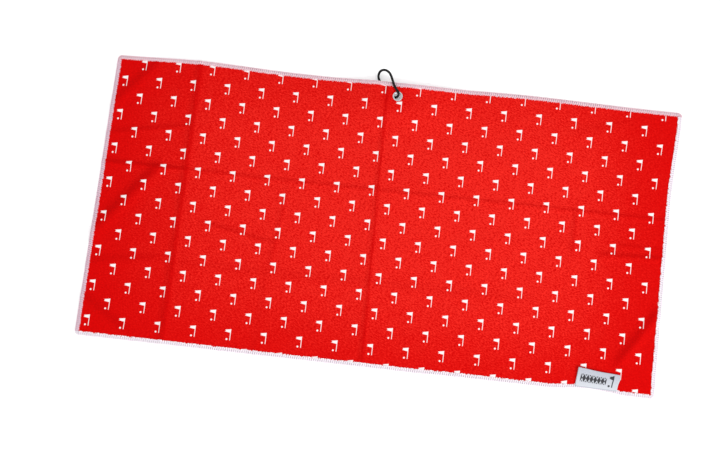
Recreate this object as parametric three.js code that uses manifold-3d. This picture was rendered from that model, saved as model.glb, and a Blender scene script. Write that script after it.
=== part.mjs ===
// Golf towel with a grommet, a small spring-gate clip and a woven side label.
// Millimetres, +Z up. The origin is the centre of the towel's underside, which lies on
// the table at z = 0. X runs along the towel, +Y points to the edge that holds the grommet.
import * as THREE from "three";
import { mergeVertices } from "three/addons/utils/BufferGeometryUtils.js";
import Module from "manifold-3d";

const wasm = await Module();
wasm.setup();

// ---------------------------------------------------------------- driving dimensions
const TOWEL = { length: 800, width: 400, corner: 6 };
const CLOTH = { thickness: 1.6, pressedEdge: 0.5 };
const OVERLOCK = { width: 5.2, lip: 0.25, proud: 0.4, outside: 0.8 };
const GROMMET = {
  x: 3.5, // from the middle of the long edge
  inset: 19, // hole centre to the outer edge of the hem
  bore: 9.6,
  wall: 0.4,
  outer: 14.4,
  flange: 0.5,
  pressed: 0.8, // cloth thickness squeezed between the two halves
  curl: 1.1, // how far the barrel's end is rolled outwards
  lip: 0.7, // rounding from the front flange into the barrel
  edge: 0.3, // rounding on the washer and on the rolled end
};
const LIFT = {
  hemRise: 2.6, // how much higher the hem rides than the cloth at the grommet
  flat: 8.4, // half size of the level patch around the hole
  sideRun: 100, // length over which the lift fades along the hem
  inRun: 56, // and towards the middle of the towel
  cell: 7.5,
};
const LABEL = { centreX: 319, width: 60, height: 24, layer: 0.45, fold: 0.3, hingeBack: 0.3 };
const CLIP = {
  rod: 3.4,
  archRadius: 11.0, // centreline of the wide end
  smallRadius: 6.2, // centreline of the narrow end
  between: 26, // from one centre to the other
  yaw: 38.5, // degrees, leaning towards -X
  roll: 43, // spine side up
  pitch: 6, // wide end up
  entry: 12, // degrees of the narrow end between its tip and the middle of the grommet
  flank: 10, // degrees of each end that carry on before the spine straightens
  root: 1.2, // how far the flat ends reach into the round rod
  clearOfTable: 0.1,
};
const GATE = {
  diameter: 4.0,
  noseSlot: 1.5,
  noseDepth: 3.9,
  pin: 1.0,
  pinFromTip: 1.7,
  earSlot: 2.0,
  earDepth: 4.6,
  rivet: 1.2,
  rivetFromEnd: 2.1,
  bore: 2.4,
  boreDepth: 11,
  endGap: 0.35, // clear of the rod at the hinge and at the nose
  pinInset: 0.15, // the rivet and the pin stop this far inside the gate's round side
};
const TENON = { thickness: 1.4, width: 3.0 };
const TONGUE = { thickness: 0.9, width: 2.3, length: 3.3, round: 0.6, chamfer: 0.3, notchGap: 0.2 };
const SPRING = { outer: 2.0, wire: 0.32, turns: 7, length: 6.4 };
const PLUNGER = { diameter: 1.7, length: 1.8, dome: 0.45 };
const GAP = 0.3; // between pieces that lie against each other
const RUNNING = 0.1; // around a pin in its hole
const THROUGH = 20; // length of a cutting tool, more than it has to cross

// ---------------------------------------------------------------- derived sizes
const RAD = Math.PI / 180;
const HALF_L = TOWEL.length / 2;
const HALF_W = TOWEL.width / 2;
const OVERLOCK_TOP = CLOTH.thickness + OVERLOCK.proud;
const PRESSED_IN = (CLOTH.thickness - CLOTH.pressedEdge) / 2; // from the cloth's face to its pressed edge

// ---------------------------------------------------------------- finishes
const finish = (color, roughness, metalness = 0) =>
  new THREE.MeshStandardMaterial({ color, roughness, metalness });
const RED_CLOTH = finish(0xe61d18, 0.95);
const WHITE_THREAD = finish(0xeae2ea, 0.9);
const LABEL_WEAVE = finish(0xc9ccd8, 0.85);
const BRIGHT_STEEL = finish(0xd4d6d8, 0.2, 1);
const BLACK_ANODISED = finish(0x0b0b0c, 0.28, 0.6);
const SPRING_STEEL = finish(0x8d9094, 0.35, 1);

// ---------------------------------------------------------------- solids and meshes
/** A three.js geometry as a closed manifold solid, placed by an optional matrix. */
function solid(geometry, matrix) {
  const bare = new THREE.BufferGeometry();
  bare.setAttribute("position", geometry.getAttribute("position").clone());
  if (geometry.index) bare.setIndex(geometry.index.clone());
  if (matrix) bare.applyMatrix4(matrix);
  const merged = mergeVertices(bare, 1e-4);
  return new wasm.Manifold(
    new wasm.Mesh({
      numProp: 3,
      vertProperties: merged.attributes.position.array,
      triVerts: new Uint32Array(merged.index.array),
    }),
  );
}

/** A manifold solid as a named three.js mesh with its own material. */
function meshOf(name, shape, material) {
  const raw = shape.getMesh();
  const geometry = new THREE.BufferGeometry();
  geometry.setAttribute("position", new THREE.BufferAttribute(new Float32Array(raw.vertProperties), 3));
  geometry.setIndex(new THREE.BufferAttribute(new Uint32Array(raw.triVerts), 1));
  geometry.computeVertexNormals();
  const mesh = new THREE.Mesh(geometry, material.clone());
  mesh.name = name;
  return mesh;
}

const at = (x, y, z) => new THREE.Matrix4().makeTranslation(x, y, z);
const box = (sx, sy, sz, matrix) => solid(new THREE.BoxGeometry(sx, sy, sz), matrix);

/** A cylinder along +Z, centred on its own middle. */
function rod(diameter, length, sides = 20) {
  const geometry = new THREE.CylinderGeometry(diameter / 2, diameter / 2, length, sides);
  return geometry.rotateX(Math.PI / 2);
}

// ---------------------------------------------------------------- clip, in its own plane
// The clip is drawn flat: x across (the solid spine is +x), y from the narrow end to the
// wide end, origin at the centre of the narrow end. The whole group is then tilted.
const SLANT = Math.asin((CLIP.archRadius - CLIP.smallRadius) / CLIP.between);
const leftOf = (radius, centreY) =>
  new THREE.Vector2(-radius * Math.cos(SLANT), centreY - radius * Math.sin(SLANT));
const GATE_LOW = leftOf(CLIP.smallRadius, 0);
const GATE_HIGH = leftOf(CLIP.archRadius, CLIP.between);
const GATE_SPAN = GATE_HIGH.distanceTo(GATE_LOW);
const GATE_TURN = Math.atan2(-(GATE_HIGH.x - GATE_LOW.x), GATE_HIGH.y - GATE_LOW.y);

/** Centreline of the bent rod, from the gate's hinge round the spine to the nose. */
class RodPath extends THREE.Curve {
  constructor() {
    super();
    const flankEnd = CLIP.flank * RAD;
    const small = { centre: 0, radius: CLIP.smallRadius, from: -Math.PI + SLANT, to: flankEnd };
    const arch = { centre: CLIP.between, radius: CLIP.archRadius, from: -flankEnd, to: Math.PI + SLANT };
    const on = (arc, angle) =>
      new THREE.Vector3(arc.radius * Math.cos(angle), arc.centre + arc.radius * Math.sin(angle), 0);
    const a = on(small, small.to);
    const b = on(arch, arch.from);
    const reach = a.distanceTo(b) / 3;
    const tangent = (angle) => new THREE.Vector3(-Math.sin(angle), Math.cos(angle), 0);
    const flank = new THREE.CubicBezierCurve3(
      a,
      a.clone().addScaledVector(tangent(small.to), reach),
      b.clone().addScaledVector(tangent(arch.from), -reach),
      b,
    );
    const turn = (arc) => arc.radius * (arc.to - arc.from);
    this.pieces = [
      { length: turn(small), point: (t) => on(small, small.from + t * (small.to - small.from)) },
      { length: flank.getLength(), point: (t) => flank.getPointAt(t) },
      { length: turn(arch), point: (t) => on(arch, arch.from + t * (arch.to - arch.from)) },
    ];
    this.total = this.pieces.reduce((sum, piece) => sum + piece.length, 0);
  }

  getPoint(t, target = new THREE.Vector3()) {
    let left = t * this.total;
    const last = this.pieces.length - 1;
    for (let i = 0; i <= last; i++) {
      const { length, point } = this.pieces[i];
      if (left <= length || i === last) return target.copy(point(Math.min(1, left / length)));
      left -= length;
    }
    return target;
  }
}

const TILT = new THREE.Euler(CLIP.pitch * RAD, -CLIP.roll * RAD, CLIP.yaw * RAD, "ZXY");
const ENTRY = new THREE.Vector3(
  CLIP.smallRadius * Math.sin(CLIP.entry * RAD),
  -CLIP.smallRadius * Math.cos(CLIP.entry * RAD),
  0,
);

/** How far the tilted clip reaches below the point of its rod that passes through the grommet. */
function clipDrop() {
  const height = (point) => point.clone().sub(ENTRY).applyEuler(TILT).z;
  const rodLow = new RodPath().getPoints(THROUGH * 4).map((point) => height(point) - CLIP.rod / 2);
  const gateEnds = [GATE_LOW, GATE_HIGH].map((end) => new THREE.Vector3(end.x, end.y, 0));
  const gateLow = gateEnds.map((point) => height(point) - GATE.diameter / 2);
  return -Math.min(...rodLow, ...gateLow);
}

// ---------------------------------------------------------------- where the grommet is
// The clip lies on the table and holds the cloth up at the grommet.
const HOLE = new THREE.Vector3(GROMMET.x, HALF_W - GROMMET.inset, clipDrop() + CLIP.clearOfTable);

// ---------------------------------------------------------------- the lie of the cloth
const ease = (t) => {
  const u = Math.min(1, Math.max(0, t));
  return 0.5 + 0.5 * Math.cos(Math.PI * u);
};

/** Height of the cloth's underside: zero, except where the clip props up the hem. */
function lift(x, y) {
  const along = Math.abs(x - HOLE.x) - LIFT.flat;
  const inwards = HOLE.y - LIFT.flat - y;
  const up = Math.max(0, y - HOLE.y - LIFT.flat) / (GROMMET.inset - LIFT.flat);
  const crest = HOLE.z - CLOTH.thickness / 2 + up * LIFT.hemRise;
  return crest * ease(along / LIFT.sideRun) * ease(inwards / LIFT.inRun);
}

/** Grid lines from low to high: the ends, and even steps over the stretch that is raised. */
function stations(low, high, raisedFrom, raisedTo, marks = []) {
  const from = Math.max(low, raisedFrom);
  const to = Math.min(high, raisedTo);
  const lines = [low, high, ...marks];
  const count = Math.max(1, Math.round((to - from) / LIFT.cell));
  if (to > from) for (let i = 0; i <= count; i++) lines.push(from + ((to - from) * i) / count);
  const sorted = lines.filter((v) => v >= low && v <= high).sort((a, b) => a - b);
  return sorted.filter((v, i) => i === 0 || v - sorted[i - 1] > 0.2 || marks.includes(v));
}

const RAISED_X = [HOLE.x - LIFT.flat - LIFT.sideRun, HOLE.x + LIFT.flat + LIFT.sideRun];
const RAISED_Y = [HOLE.y - LIFT.flat - LIFT.inRun, HALF_W];
const LEVEL_X = [HOLE.x - LIFT.flat, HOLE.x + LIFT.flat];
const LEVEL_Y = [HOLE.y - LIFT.flat, HOLE.y + LIFT.flat];

/** A thin slab on the lines xs and ys whose two faces follow the lie of the cloth. */
function layFlat(xs, ys, bottom, top) {
  const nx = xs.length - 1;
  const ny = ys.length - 1;
  const geometry = new THREE.BoxGeometry(nx, ny, 1, nx, ny, 1);
  const position = geometry.getAttribute("position");
  for (let i = 0; i < position.count; i++) {
    const x = xs[Math.round(position.getX(i) + nx / 2)];
    const y = ys[Math.round(position.getY(i) + ny / 2)];
    const face = position.getZ(i) > 0 ? top : bottom;
    position.setXYZ(i, x, y, lift(x, y) + face(x, y));
  }
  return solid(geometry);
}

/** A tall prism with rounded corners, used to trim the towel's outline. */
function outline(halfX, halfY, radius) {
  const shape = new THREE.Shape();
  shape.moveTo(-halfX + radius, -halfY);
  shape.lineTo(halfX - radius, -halfY);
  shape.absarc(halfX - radius, -halfY + radius, radius, -Math.PI / 2, 0);
  shape.lineTo(halfX, halfY - radius);
  shape.absarc(halfX - radius, halfY - radius, radius, 0, Math.PI / 2);
  shape.lineTo(-halfX + radius, halfY);
  shape.absarc(-halfX + radius, halfY - radius, radius, Math.PI / 2, Math.PI);
  shape.lineTo(-halfX, -halfY + radius);
  shape.absarc(-halfX + radius, -halfY + radius, radius, Math.PI, 1.5 * Math.PI);
  const depth = 2 * THROUGH;
  const prism = new THREE.ExtrudeGeometry(shape, { depth, bevelEnabled: false, curveSegments: 6 });
  return solid(prism, at(0, 0, -THROUGH));
}

// ---------------------------------------------------------------- towel panel
/** The cloth: full thickness inside the hem, pressed thin where the thread wraps it. */
function towelPanel() {
  const rawX = HALF_L - OVERLOCK.outside - GAP;
  const rawY = HALF_W - OVERLOCK.outside - GAP;
  const stepX = HALF_L - OVERLOCK.width - GAP;
  const stepY = HALF_W - OVERLOCK.width - GAP;
  const stepRun = 0.4;
  const edgeMarks = (step, raw) => [-raw, -step - stepRun, -step, step, step + stepRun, raw];
  const xs = stations(-rawX, rawX, ...RAISED_X, [...edgeMarks(stepX, rawX), ...LEVEL_X]);
  const ys = stations(-rawY, rawY, ...RAISED_Y, [...edgeMarks(stepY, rawY), ...LEVEL_Y]);
  const isEdge = (x, y) => Math.abs(x) > stepX + 0.01 || Math.abs(y) > stepY + 0.01;
  const pressedIn = (x, y) => (isEdge(x, y) ? PRESSED_IN : 0);
  const slab = layFlat(xs, ys, pressedIn, (x, y) => CLOTH.thickness - pressedIn(x, y));
  const trimmed = slab.intersect(outline(rawX, rawY, TOWEL.corner - OVERLOCK.outside - GAP));
  const holeSize = GROMMET.bore + 2 * (GROMMET.wall + GAP);
  const hole = solid(rod(holeSize, THROUGH, 32), at(HOLE.x, HOLE.y, HOLE.z));
  const seatSize = GROMMET.outer + 2 * GAP;
  const seatShift = (GROMMET.pressed + THROUGH) / 2;
  const frontSeat = solid(rod(seatSize, THROUGH, 40), at(HOLE.x, HOLE.y, HOLE.z + seatShift));
  const backSeat = solid(rod(seatSize, THROUGH, 40), at(HOLE.x, HOLE.y, HOLE.z - seatShift));
  const pierced = trimmed.subtract(hole).subtract(frontSeat).subtract(backSeat);
  return meshOf("towel_panel", pierced, RED_CLOTH);
}

// ---------------------------------------------------------------- overlock edging
/** One run of edging: a channel of thread that wraps the pressed edge of the cloth. */
function overlockRun(name, xs, ys, slotXs, slotYs) {
  const run = layFlat(xs, ys, () => 0, () => OVERLOCK_TOP);
  const slotLow = Math.min(OVERLOCK.lip, PRESSED_IN - GAP);
  const slotHigh = CLOTH.thickness - PRESSED_IN + GAP;
  const slot = layFlat(slotXs, slotYs, () => slotLow, () => slotHigh);
  const trim = outline(HALF_L, HALF_W, TOWEL.corner);
  return meshOf(name, run.subtract(slot).intersect(trim), WHITE_THREAD);
}

function overlockEdging() {
  const { width, outside } = OVERLOCK;
  const longXs = stations(-HALF_L, HALF_L, ...RAISED_X, LEVEL_X);
  const slotXs = stations(-HALF_L + outside, HALF_L - outside, ...RAISED_X, LEVEL_X);
  const sideY = HALF_W - width - GAP;
  const beyond = 1;
  return [
    overlockRun(
      "overlock_top",
      longXs,
      [HALF_W - width, HALF_W],
      slotXs,
      [HALF_W - width - beyond, HALF_W - outside],
    ),
    overlockRun(
      "overlock_bottom",
      [-HALF_L, HALF_L],
      [-HALF_W, -HALF_W + width],
      [-HALF_L + outside, HALF_L - outside],
      [-HALF_W + outside, -HALF_W + width + beyond],
    ),
    overlockRun(
      "overlock_left",
      [-HALF_L, -HALF_L + width],
      [-sideY, sideY],
      [-HALF_L + outside, -HALF_L + width + beyond],
      [-sideY - beyond, sideY + beyond],
    ),
    overlockRun(
      "overlock_right",
      [HALF_L - width, HALF_L],
      [-sideY, sideY],
      [HALF_L - width - beyond, HALF_L - outside],
      [-sideY - beyond, sideY + beyond],
    ),
  ];
}

// ---------------------------------------------------------------- grommet
/** A ring turned from a closed section drawn as radius and height. */
function turned(section, segments = 40) {
  const points = section.getPoints(5);
  if (!points[0].equals(points[points.length - 1])) points.push(points[0].clone());
  return solid(new THREE.LatheGeometry(points, segments), new THREE.Matrix4().makeRotationX(Math.PI / 2));
}

/** Front half: a rounded flange, the barrel through the cloth and its rolled end. */
function grommetEyelet() {
  const inner = GROMMET.bore / 2;
  const barrel = inner + GROMMET.wall;
  const low = GROMMET.pressed / 2 + GAP;
  const high = low + GROMMET.flange;
  const outer = GROMMET.outer / 2;
  const curl = barrel + GROMMET.curl;
  const section = new THREE.Shape();
  section.moveTo(inner, -low);
  section.quadraticCurveTo(inner, -high, inner + GROMMET.flange, -high);
  section.lineTo(curl - GROMMET.edge, -high);
  section.quadraticCurveTo(curl, -high, curl, -low);
  section.lineTo(barrel, -low);
  section.lineTo(barrel, low);
  section.lineTo(outer, low);
  section.quadraticCurveTo(outer, high, outer - GROMMET.flange, high);
  section.lineTo(inner + GROMMET.lip, high);
  section.quadraticCurveTo(inner, high, inner, low);
  section.closePath();
  return meshOf("grommet_eyelet", turned(section).translate(HOLE.toArray()), BRIGHT_STEEL);
}

/** Back half: the ring that the barrel is rolled against. */
function grommetWasher() {
  const inner = GROMMET.bore / 2 + GROMMET.wall + GROMMET.curl + GAP;
  const outer = GROMMET.outer / 2;
  const high = -(GROMMET.pressed / 2 + GAP);
  const low = high - GROMMET.flange;
  const section = new THREE.Shape();
  section.moveTo(inner, low);
  section.lineTo(outer - GROMMET.edge, low);
  section.quadraticCurveTo(outer, low, outer, high);
  section.lineTo(inner, high);
  section.closePath();
  return meshOf("grommet_washer", turned(section).translate(HOLE.toArray()), BRIGHT_STEEL);
}

// ---------------------------------------------------------------- label
/** A woven tape folded in half; both ends start at the bottom hem and the fold lies on the cloth. */
function sideLabel() {
  const height = LABEL.height;
  const thick = 2 * LABEL.layer + LABEL.fold;
  const radius = thick / 2;
  const innerRadius = LABEL.fold / 2;
  const shape = new THREE.Shape();
  shape.moveTo(0, 0);
  shape.lineTo(height - radius, 0);
  shape.absarc(height - radius, radius, radius, -Math.PI / 2, Math.PI / 2);
  shape.lineTo(0, thick);
  shape.lineTo(0, thick - LABEL.layer);
  shape.lineTo(height - radius, thick - LABEL.layer);
  shape.absarc(height - radius, radius, innerRadius, Math.PI / 2, -Math.PI / 2, true);
  shape.lineTo(0, LABEL.layer);
  shape.closePath();
  const run = { depth: LABEL.width, bevelEnabled: false, curveSegments: 6 };
  const tape = new THREE.ExtrudeGeometry(shape, run);
  const turn = new THREE.Matrix4().makeBasis(
    new THREE.Vector3(0, 1, 0),
    new THREE.Vector3(0, 0, 1),
    new THREE.Vector3(1, 0, 0),
  );
  const start = at(
    LABEL.centreX - LABEL.width / 2,
    -HALF_W + OVERLOCK.width + GAP + LABEL.hingeBack,
    CLOTH.thickness + GAP,
  );
  return meshOf("side_label", solid(tape, start.multiply(turn)), LABEL_WEAVE);
}

// ---------------------------------------------------------------- clip body
/** A round section drawn as a shape, for sweeping along a path. */
function roundSection(diameter, sides) {
  const shape = new THREE.Shape();
  for (let i = 0; i < sides; i++) {
    const angle = (2 * Math.PI * i) / sides;
    const x = (diameter / 2) * Math.cos(angle);
    const y = (diameter / 2) * Math.sin(angle);
    if (i === 0) shape.moveTo(x, y);
    else shape.lineTo(x, y);
  }
  return shape;
}

// The gate's own axes: origin at the lower end of its centreline, +Y along it to the nose,
// +X to the inside of the loop, +Z the same as the clip's.
const gateFrame = () =>
  new THREE.Matrix4().makeRotationZ(GATE_TURN).setPosition(GATE_LOW.x, GATE_LOW.y, 0);
const inGate = (x, y, z) => gateFrame().multiply(at(x, y, z));
const RIVET_Y = GATE.rivetFromEnd;
const PIN_Y = GATE_SPAN - GATE.pinFromTip;
const TENON_TIP = RIVET_Y + TENON.width / 2;

/** Flat end of the rod that the gate's fork straddles, with the rivet's hole. */
function tenon() {
  const half = TENON.width / 2;
  const shape = new THREE.Shape();
  shape.moveTo(-half, -CLIP.root);
  shape.lineTo(half, -CLIP.root);
  shape.lineTo(half, RIVET_Y);
  shape.absarc(0, RIVET_Y, half, 0, Math.PI);
  shape.closePath();
  const hole = new THREE.Path();
  hole.absarc(0, RIVET_Y, GATE.rivet / 2 + RUNNING, 0, 2 * Math.PI, true);
  shape.holes.push(hole);
  const run = { depth: TENON.thickness, bevelEnabled: false, curveSegments: 8 };
  const plate = new THREE.ExtrudeGeometry(shape, run);
  return solid(plate, inGate(0, 0, -TENON.thickness / 2));
}

/** Flat tongue on the nose, notched on the inside so that the gate's pin drops into it. */
function tongue() {
  const outer = -TONGUE.width / 2;
  const inner = TONGUE.width / 2;
  const notch = GATE.pin / 2 + TONGUE.notchGap;
  const end = GATE_SPAN - TONGUE.length;
  const root = GATE_SPAN + CLIP.root;
  const shape = new THREE.Shape();
  shape.moveTo(outer, root);
  shape.lineTo(outer, end + TONGUE.round);
  shape.quadraticCurveTo(outer, end, outer + TONGUE.round, end);
  shape.lineTo(inner - TONGUE.chamfer, end);
  shape.lineTo(inner, end + TONGUE.chamfer);
  shape.lineTo(inner, PIN_Y - notch);
  shape.lineTo(0, PIN_Y - notch);
  shape.absarc(0, PIN_Y, notch, -Math.PI / 2, Math.PI / 2, true);
  shape.lineTo(inner, PIN_Y + notch);
  shape.lineTo(inner, root);
  shape.closePath();
  const run = { depth: TONGUE.thickness, bevelEnabled: false, curveSegments: 5 };
  const plate = new THREE.ExtrudeGeometry(shape, run);
  return solid(plate, inGate(0, 0, -TONGUE.thickness / 2));
}

function clipBody() {
  const path = new RodPath();
  const bar = new THREE.ExtrudeGeometry(roundSection(CLIP.rod, 14), {
    steps: 64,
    extrudePath: path,
    bevelEnabled: false,
  });
  return meshOf("clip_body", solid(bar).add(tenon()).add(tongue()), BLACK_ANODISED);
}

// ---------------------------------------------------------------- gate and its small parts
const GATE_BASE = GATE.endGap;
const GATE_TIP = GATE_SPAN - GATE.endGap;
const PLUNGER_Y = TENON_TIP + GAP;

/** Straight hollow rod with a fork at the hinge and a slot at the nose. */
function gate() {
  const length = GATE_TIP - GATE_BASE;
  const upright = new THREE.Matrix4().makeRotationX(-Math.PI / 2);
  const bar = solid(rod(GATE.diameter, length), inGate(0, GATE_BASE + length / 2, 0).multiply(upright));
  const slotAt = (y, depth, width) => box(2 * GATE.diameter, 2 * depth, width, inGate(0, y, 0));
  const noseSlot = slotAt(GATE_TIP, GATE.noseDepth, GATE.noseSlot);
  const earSlot = slotAt(GATE_BASE, GATE.earDepth, GATE.earSlot);
  const boreMiddle = PLUNGER_Y + GATE.boreDepth / 2;
  const bore = solid(rod(GATE.bore, GATE.boreDepth, 16), inGate(0, boreMiddle, 0).multiply(upright));
  const rivetHole = solid(rod(GATE.rivet + 2 * RUNNING, THROUGH, 16), inGate(0, RIVET_Y, 0));
  const pinHole = solid(rod(GATE.pin + 2 * RUNNING, THROUGH, 16), inGate(0, PIN_Y, 0));
  const cuts = [noseSlot, earSlot, bore, rivetHole, pinHole];
  return meshOf("clip_gate", cuts.reduce((body, cut) => body.subtract(cut), bar), BLACK_ANODISED);
}

/** A steel cross pin that fills the gate from side to side. */
function crossPin(name, diameter, y) {
  const pin = rod(diameter, GATE.diameter - 2 * GATE.pinInset, 16);
  return meshOf(name, solid(pin, inGate(0, y, 0)), BRIGHT_STEEL);
}

/** Coil spring in the gate's bore, pushing the plunger against the round end of the tenon. */
function gateSpring() {
  const start = PLUNGER_Y + PLUNGER.length + GAP;
  const radius = (SPRING.outer - SPRING.wire) / 2;
  class Helix extends THREE.Curve {
    getPoint(t, target = new THREE.Vector3()) {
      const angle = 2 * Math.PI * SPRING.turns * t;
      return target.set(radius * Math.cos(angle), start + SPRING.length * t, radius * Math.sin(angle));
    }
  }
  const coil = new THREE.ExtrudeGeometry(roundSection(SPRING.wire, 6), {
    steps: SPRING.turns * 12,
    extrudePath: new Helix(),
    bevelEnabled: false,
  });
  return meshOf("gate_spring", solid(coil, gateFrame()), SPRING_STEEL);
}

/** Small plunger between the spring and the tenon, domed where it rubs. */
function gatePlunger() {
  const radius = PLUNGER.diameter / 2;
  const section = new THREE.Shape();
  section.moveTo(0, 0);
  section.quadraticCurveTo(radius, 0, radius, PLUNGER.dome);
  section.lineTo(radius, PLUNGER.length);
  section.lineTo(0, PLUNGER.length);
  const turnedPlunger = new THREE.LatheGeometry(section.getPoints(4), 16);
  return meshOf("gate_plunger", solid(turnedPlunger, inGate(0, PLUNGER_Y, 0)), SPRING_STEEL);
}

/** The whole clip, tilted so that its narrow end passes through the middle of the grommet. */
function clip() {
  const group = new THREE.Group();
  const rivet = crossPin("gate_rivet", GATE.rivet, RIVET_Y);
  const latchPin = crossPin("gate_latch_pin", GATE.pin, PIN_Y);
  group.add(clipBody(), gate(), rivet, latchPin, gateSpring(), gatePlunger());
  group.rotation.copy(TILT);
  group.position.copy(HOLE).sub(ENTRY.clone().applyEuler(TILT));
  return group;
}

// ---------------------------------------------------------------- assembly
const towel = new THREE.Group();
towel.add(towelPanel(), ...overlockEdging(), grommetEyelet(), grommetWasher(), sideLabel(), clip());

export default towel;
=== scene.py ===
"""Looks of a printed microfibre golf towel with a grommet, a small clip and a folded side label."""

import logging
import math
import random
from dataclasses import dataclass, field
from enum import Enum
from typing import Sequence

import bmesh
import bpy
from mathutils import Euler, Matrix, Vector, noise


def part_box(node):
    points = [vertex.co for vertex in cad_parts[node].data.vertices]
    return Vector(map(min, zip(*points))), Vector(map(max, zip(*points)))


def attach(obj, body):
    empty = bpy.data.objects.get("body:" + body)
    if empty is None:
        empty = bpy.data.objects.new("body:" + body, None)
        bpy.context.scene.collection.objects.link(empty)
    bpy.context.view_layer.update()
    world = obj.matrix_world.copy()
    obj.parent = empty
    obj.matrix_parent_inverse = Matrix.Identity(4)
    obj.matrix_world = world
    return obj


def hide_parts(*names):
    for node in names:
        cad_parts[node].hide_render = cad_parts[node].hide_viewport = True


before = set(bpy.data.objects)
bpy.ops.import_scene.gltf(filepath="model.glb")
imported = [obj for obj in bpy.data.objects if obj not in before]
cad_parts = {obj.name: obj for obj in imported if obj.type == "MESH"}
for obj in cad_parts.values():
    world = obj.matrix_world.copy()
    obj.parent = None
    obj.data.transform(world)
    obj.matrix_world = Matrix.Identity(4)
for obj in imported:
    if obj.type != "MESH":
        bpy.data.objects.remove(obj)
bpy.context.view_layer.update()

MM = 0.001
LOG = logging.getLogger("golf_towel")
Value = "float | tuple | Signal"  # what a shader socket can be given
Pair = tuple[float, float]
Triple = tuple[float, float, float]


# ---------------------------------------------------------------- small sums
def clamp01(t: float) -> float:
    """Keeps a number between 0 and 1."""
    return min(1.0, max(0.0, t))


def smooth(t: float) -> float:
    """Eases from 0 to 1 as t goes from 0 to 1."""
    u = clamp01(t)
    return u * u * (3 - 2 * u)


def bell(t: float) -> float:
    """A round hump, 1 at t = 0 and 0 from t = 1 outwards."""
    return math.cos(math.pi / 2 * min(1.0, abs(t))) ** 2


def mix(a: float, b: float, t: float) -> float:
    """The number t of the way from a to b."""
    return a + (b - a) * t


def between(table: Sequence[Pair], place: float) -> float:
    """Reads a table of places and amounts, with straight lines between its places.

    Args:
        table: pairs in order of place.
        place: where to read it.
    Returns:
        The amount there.
    """
    if place <= table[0][0]:
        return table[0][1]
    for (low, first), (high, second) in zip(table, table[1:]):
        if place <= high:
            return mix(first, second, (place - low) / (high - low))
    return table[-1][1]


# ---------------------------------------------------------------- shader graphs
class Signal:
    """An output socket of a shader node. Arithmetic on it adds Math nodes."""

    def __init__(self, graph: "Graph", socket: bpy.types.NodeSocket) -> None:
        """Wraps one socket of one graph."""
        self.graph = graph
        self.socket = socket

    def _with(self, operation: str, *values: "Value") -> "Signal":
        """Adds one Math node that works on this signal first."""
        return self.graph.maths(operation, self, *values)

    def __add__(self, other: "Value") -> "Signal":
        """Sum."""
        return self._with("ADD", other)

    __radd__ = __add__

    def __sub__(self, other: "Value") -> "Signal":
        """Difference."""
        return self._with("SUBTRACT", other)

    def __rsub__(self, other: "Value") -> "Signal":
        """Difference, with this signal taken away."""
        return self.graph.maths("SUBTRACT", other, self)

    def __mul__(self, other: "Value") -> "Signal":
        """Product."""
        return self._with("MULTIPLY", other)

    __rmul__ = __mul__

    def __truediv__(self, other: "Value") -> "Signal":
        """Quotient."""
        return self._with("DIVIDE", other)

    def __abs__(self) -> "Signal":
        """Size without sign."""
        return self._with("ABSOLUTE")

    def __lt__(self, other: "Value") -> "Signal":
        """1 where this signal is the smaller one."""
        return self._with("LESS_THAN", other)

    def __gt__(self, other: "Value") -> "Signal":
        """1 where this signal is the larger one."""
        return self._with("GREATER_THAN", other)

    def floor(self) -> "Signal":
        """The whole number below."""
        return self._with("FLOOR")

    def fraction(self) -> "Signal":
        """What is left above the whole number below."""
        return self._with("FRACT")

    def root(self) -> "Signal":
        """Square root."""
        return self._with("SQRT")

    def wrapped(self, pitch: float) -> "Signal":
        """The place within a repeat of this pitch, from minus half to plus half a pitch."""
        return self._with("WRAP", pitch / 2, -pitch / 2)

    def either(self, other: "Value") -> "Signal":
        """The larger of two masks."""
        return self._with("MAXIMUM", other)

    def both(self, other: "Value") -> "Signal":
        """The smaller of two masks."""
        return self._with("MINIMUM", other)

    def sine(self, pitch: float) -> "Signal":
        """A sine wave along this signal, between -1 and 1."""
        return (self * (2 * math.pi / pitch))._with("SINE")

    def ramp(self, low: float, high: float) -> "Signal":
        """Goes smoothly from 0 to 1 as the signal goes from low to high.

        Args:
            low: value at which the result is 0.
            high: the larger value, at which the result is 1.
        Returns:
            The eased signal.
        """
        settings = {"interpolation_type": "SMOOTHSTEP"}
        return self.graph.node("ShaderNodeMapRange", settings, Value=self, From_Min=low, From_Max=high)


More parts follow.
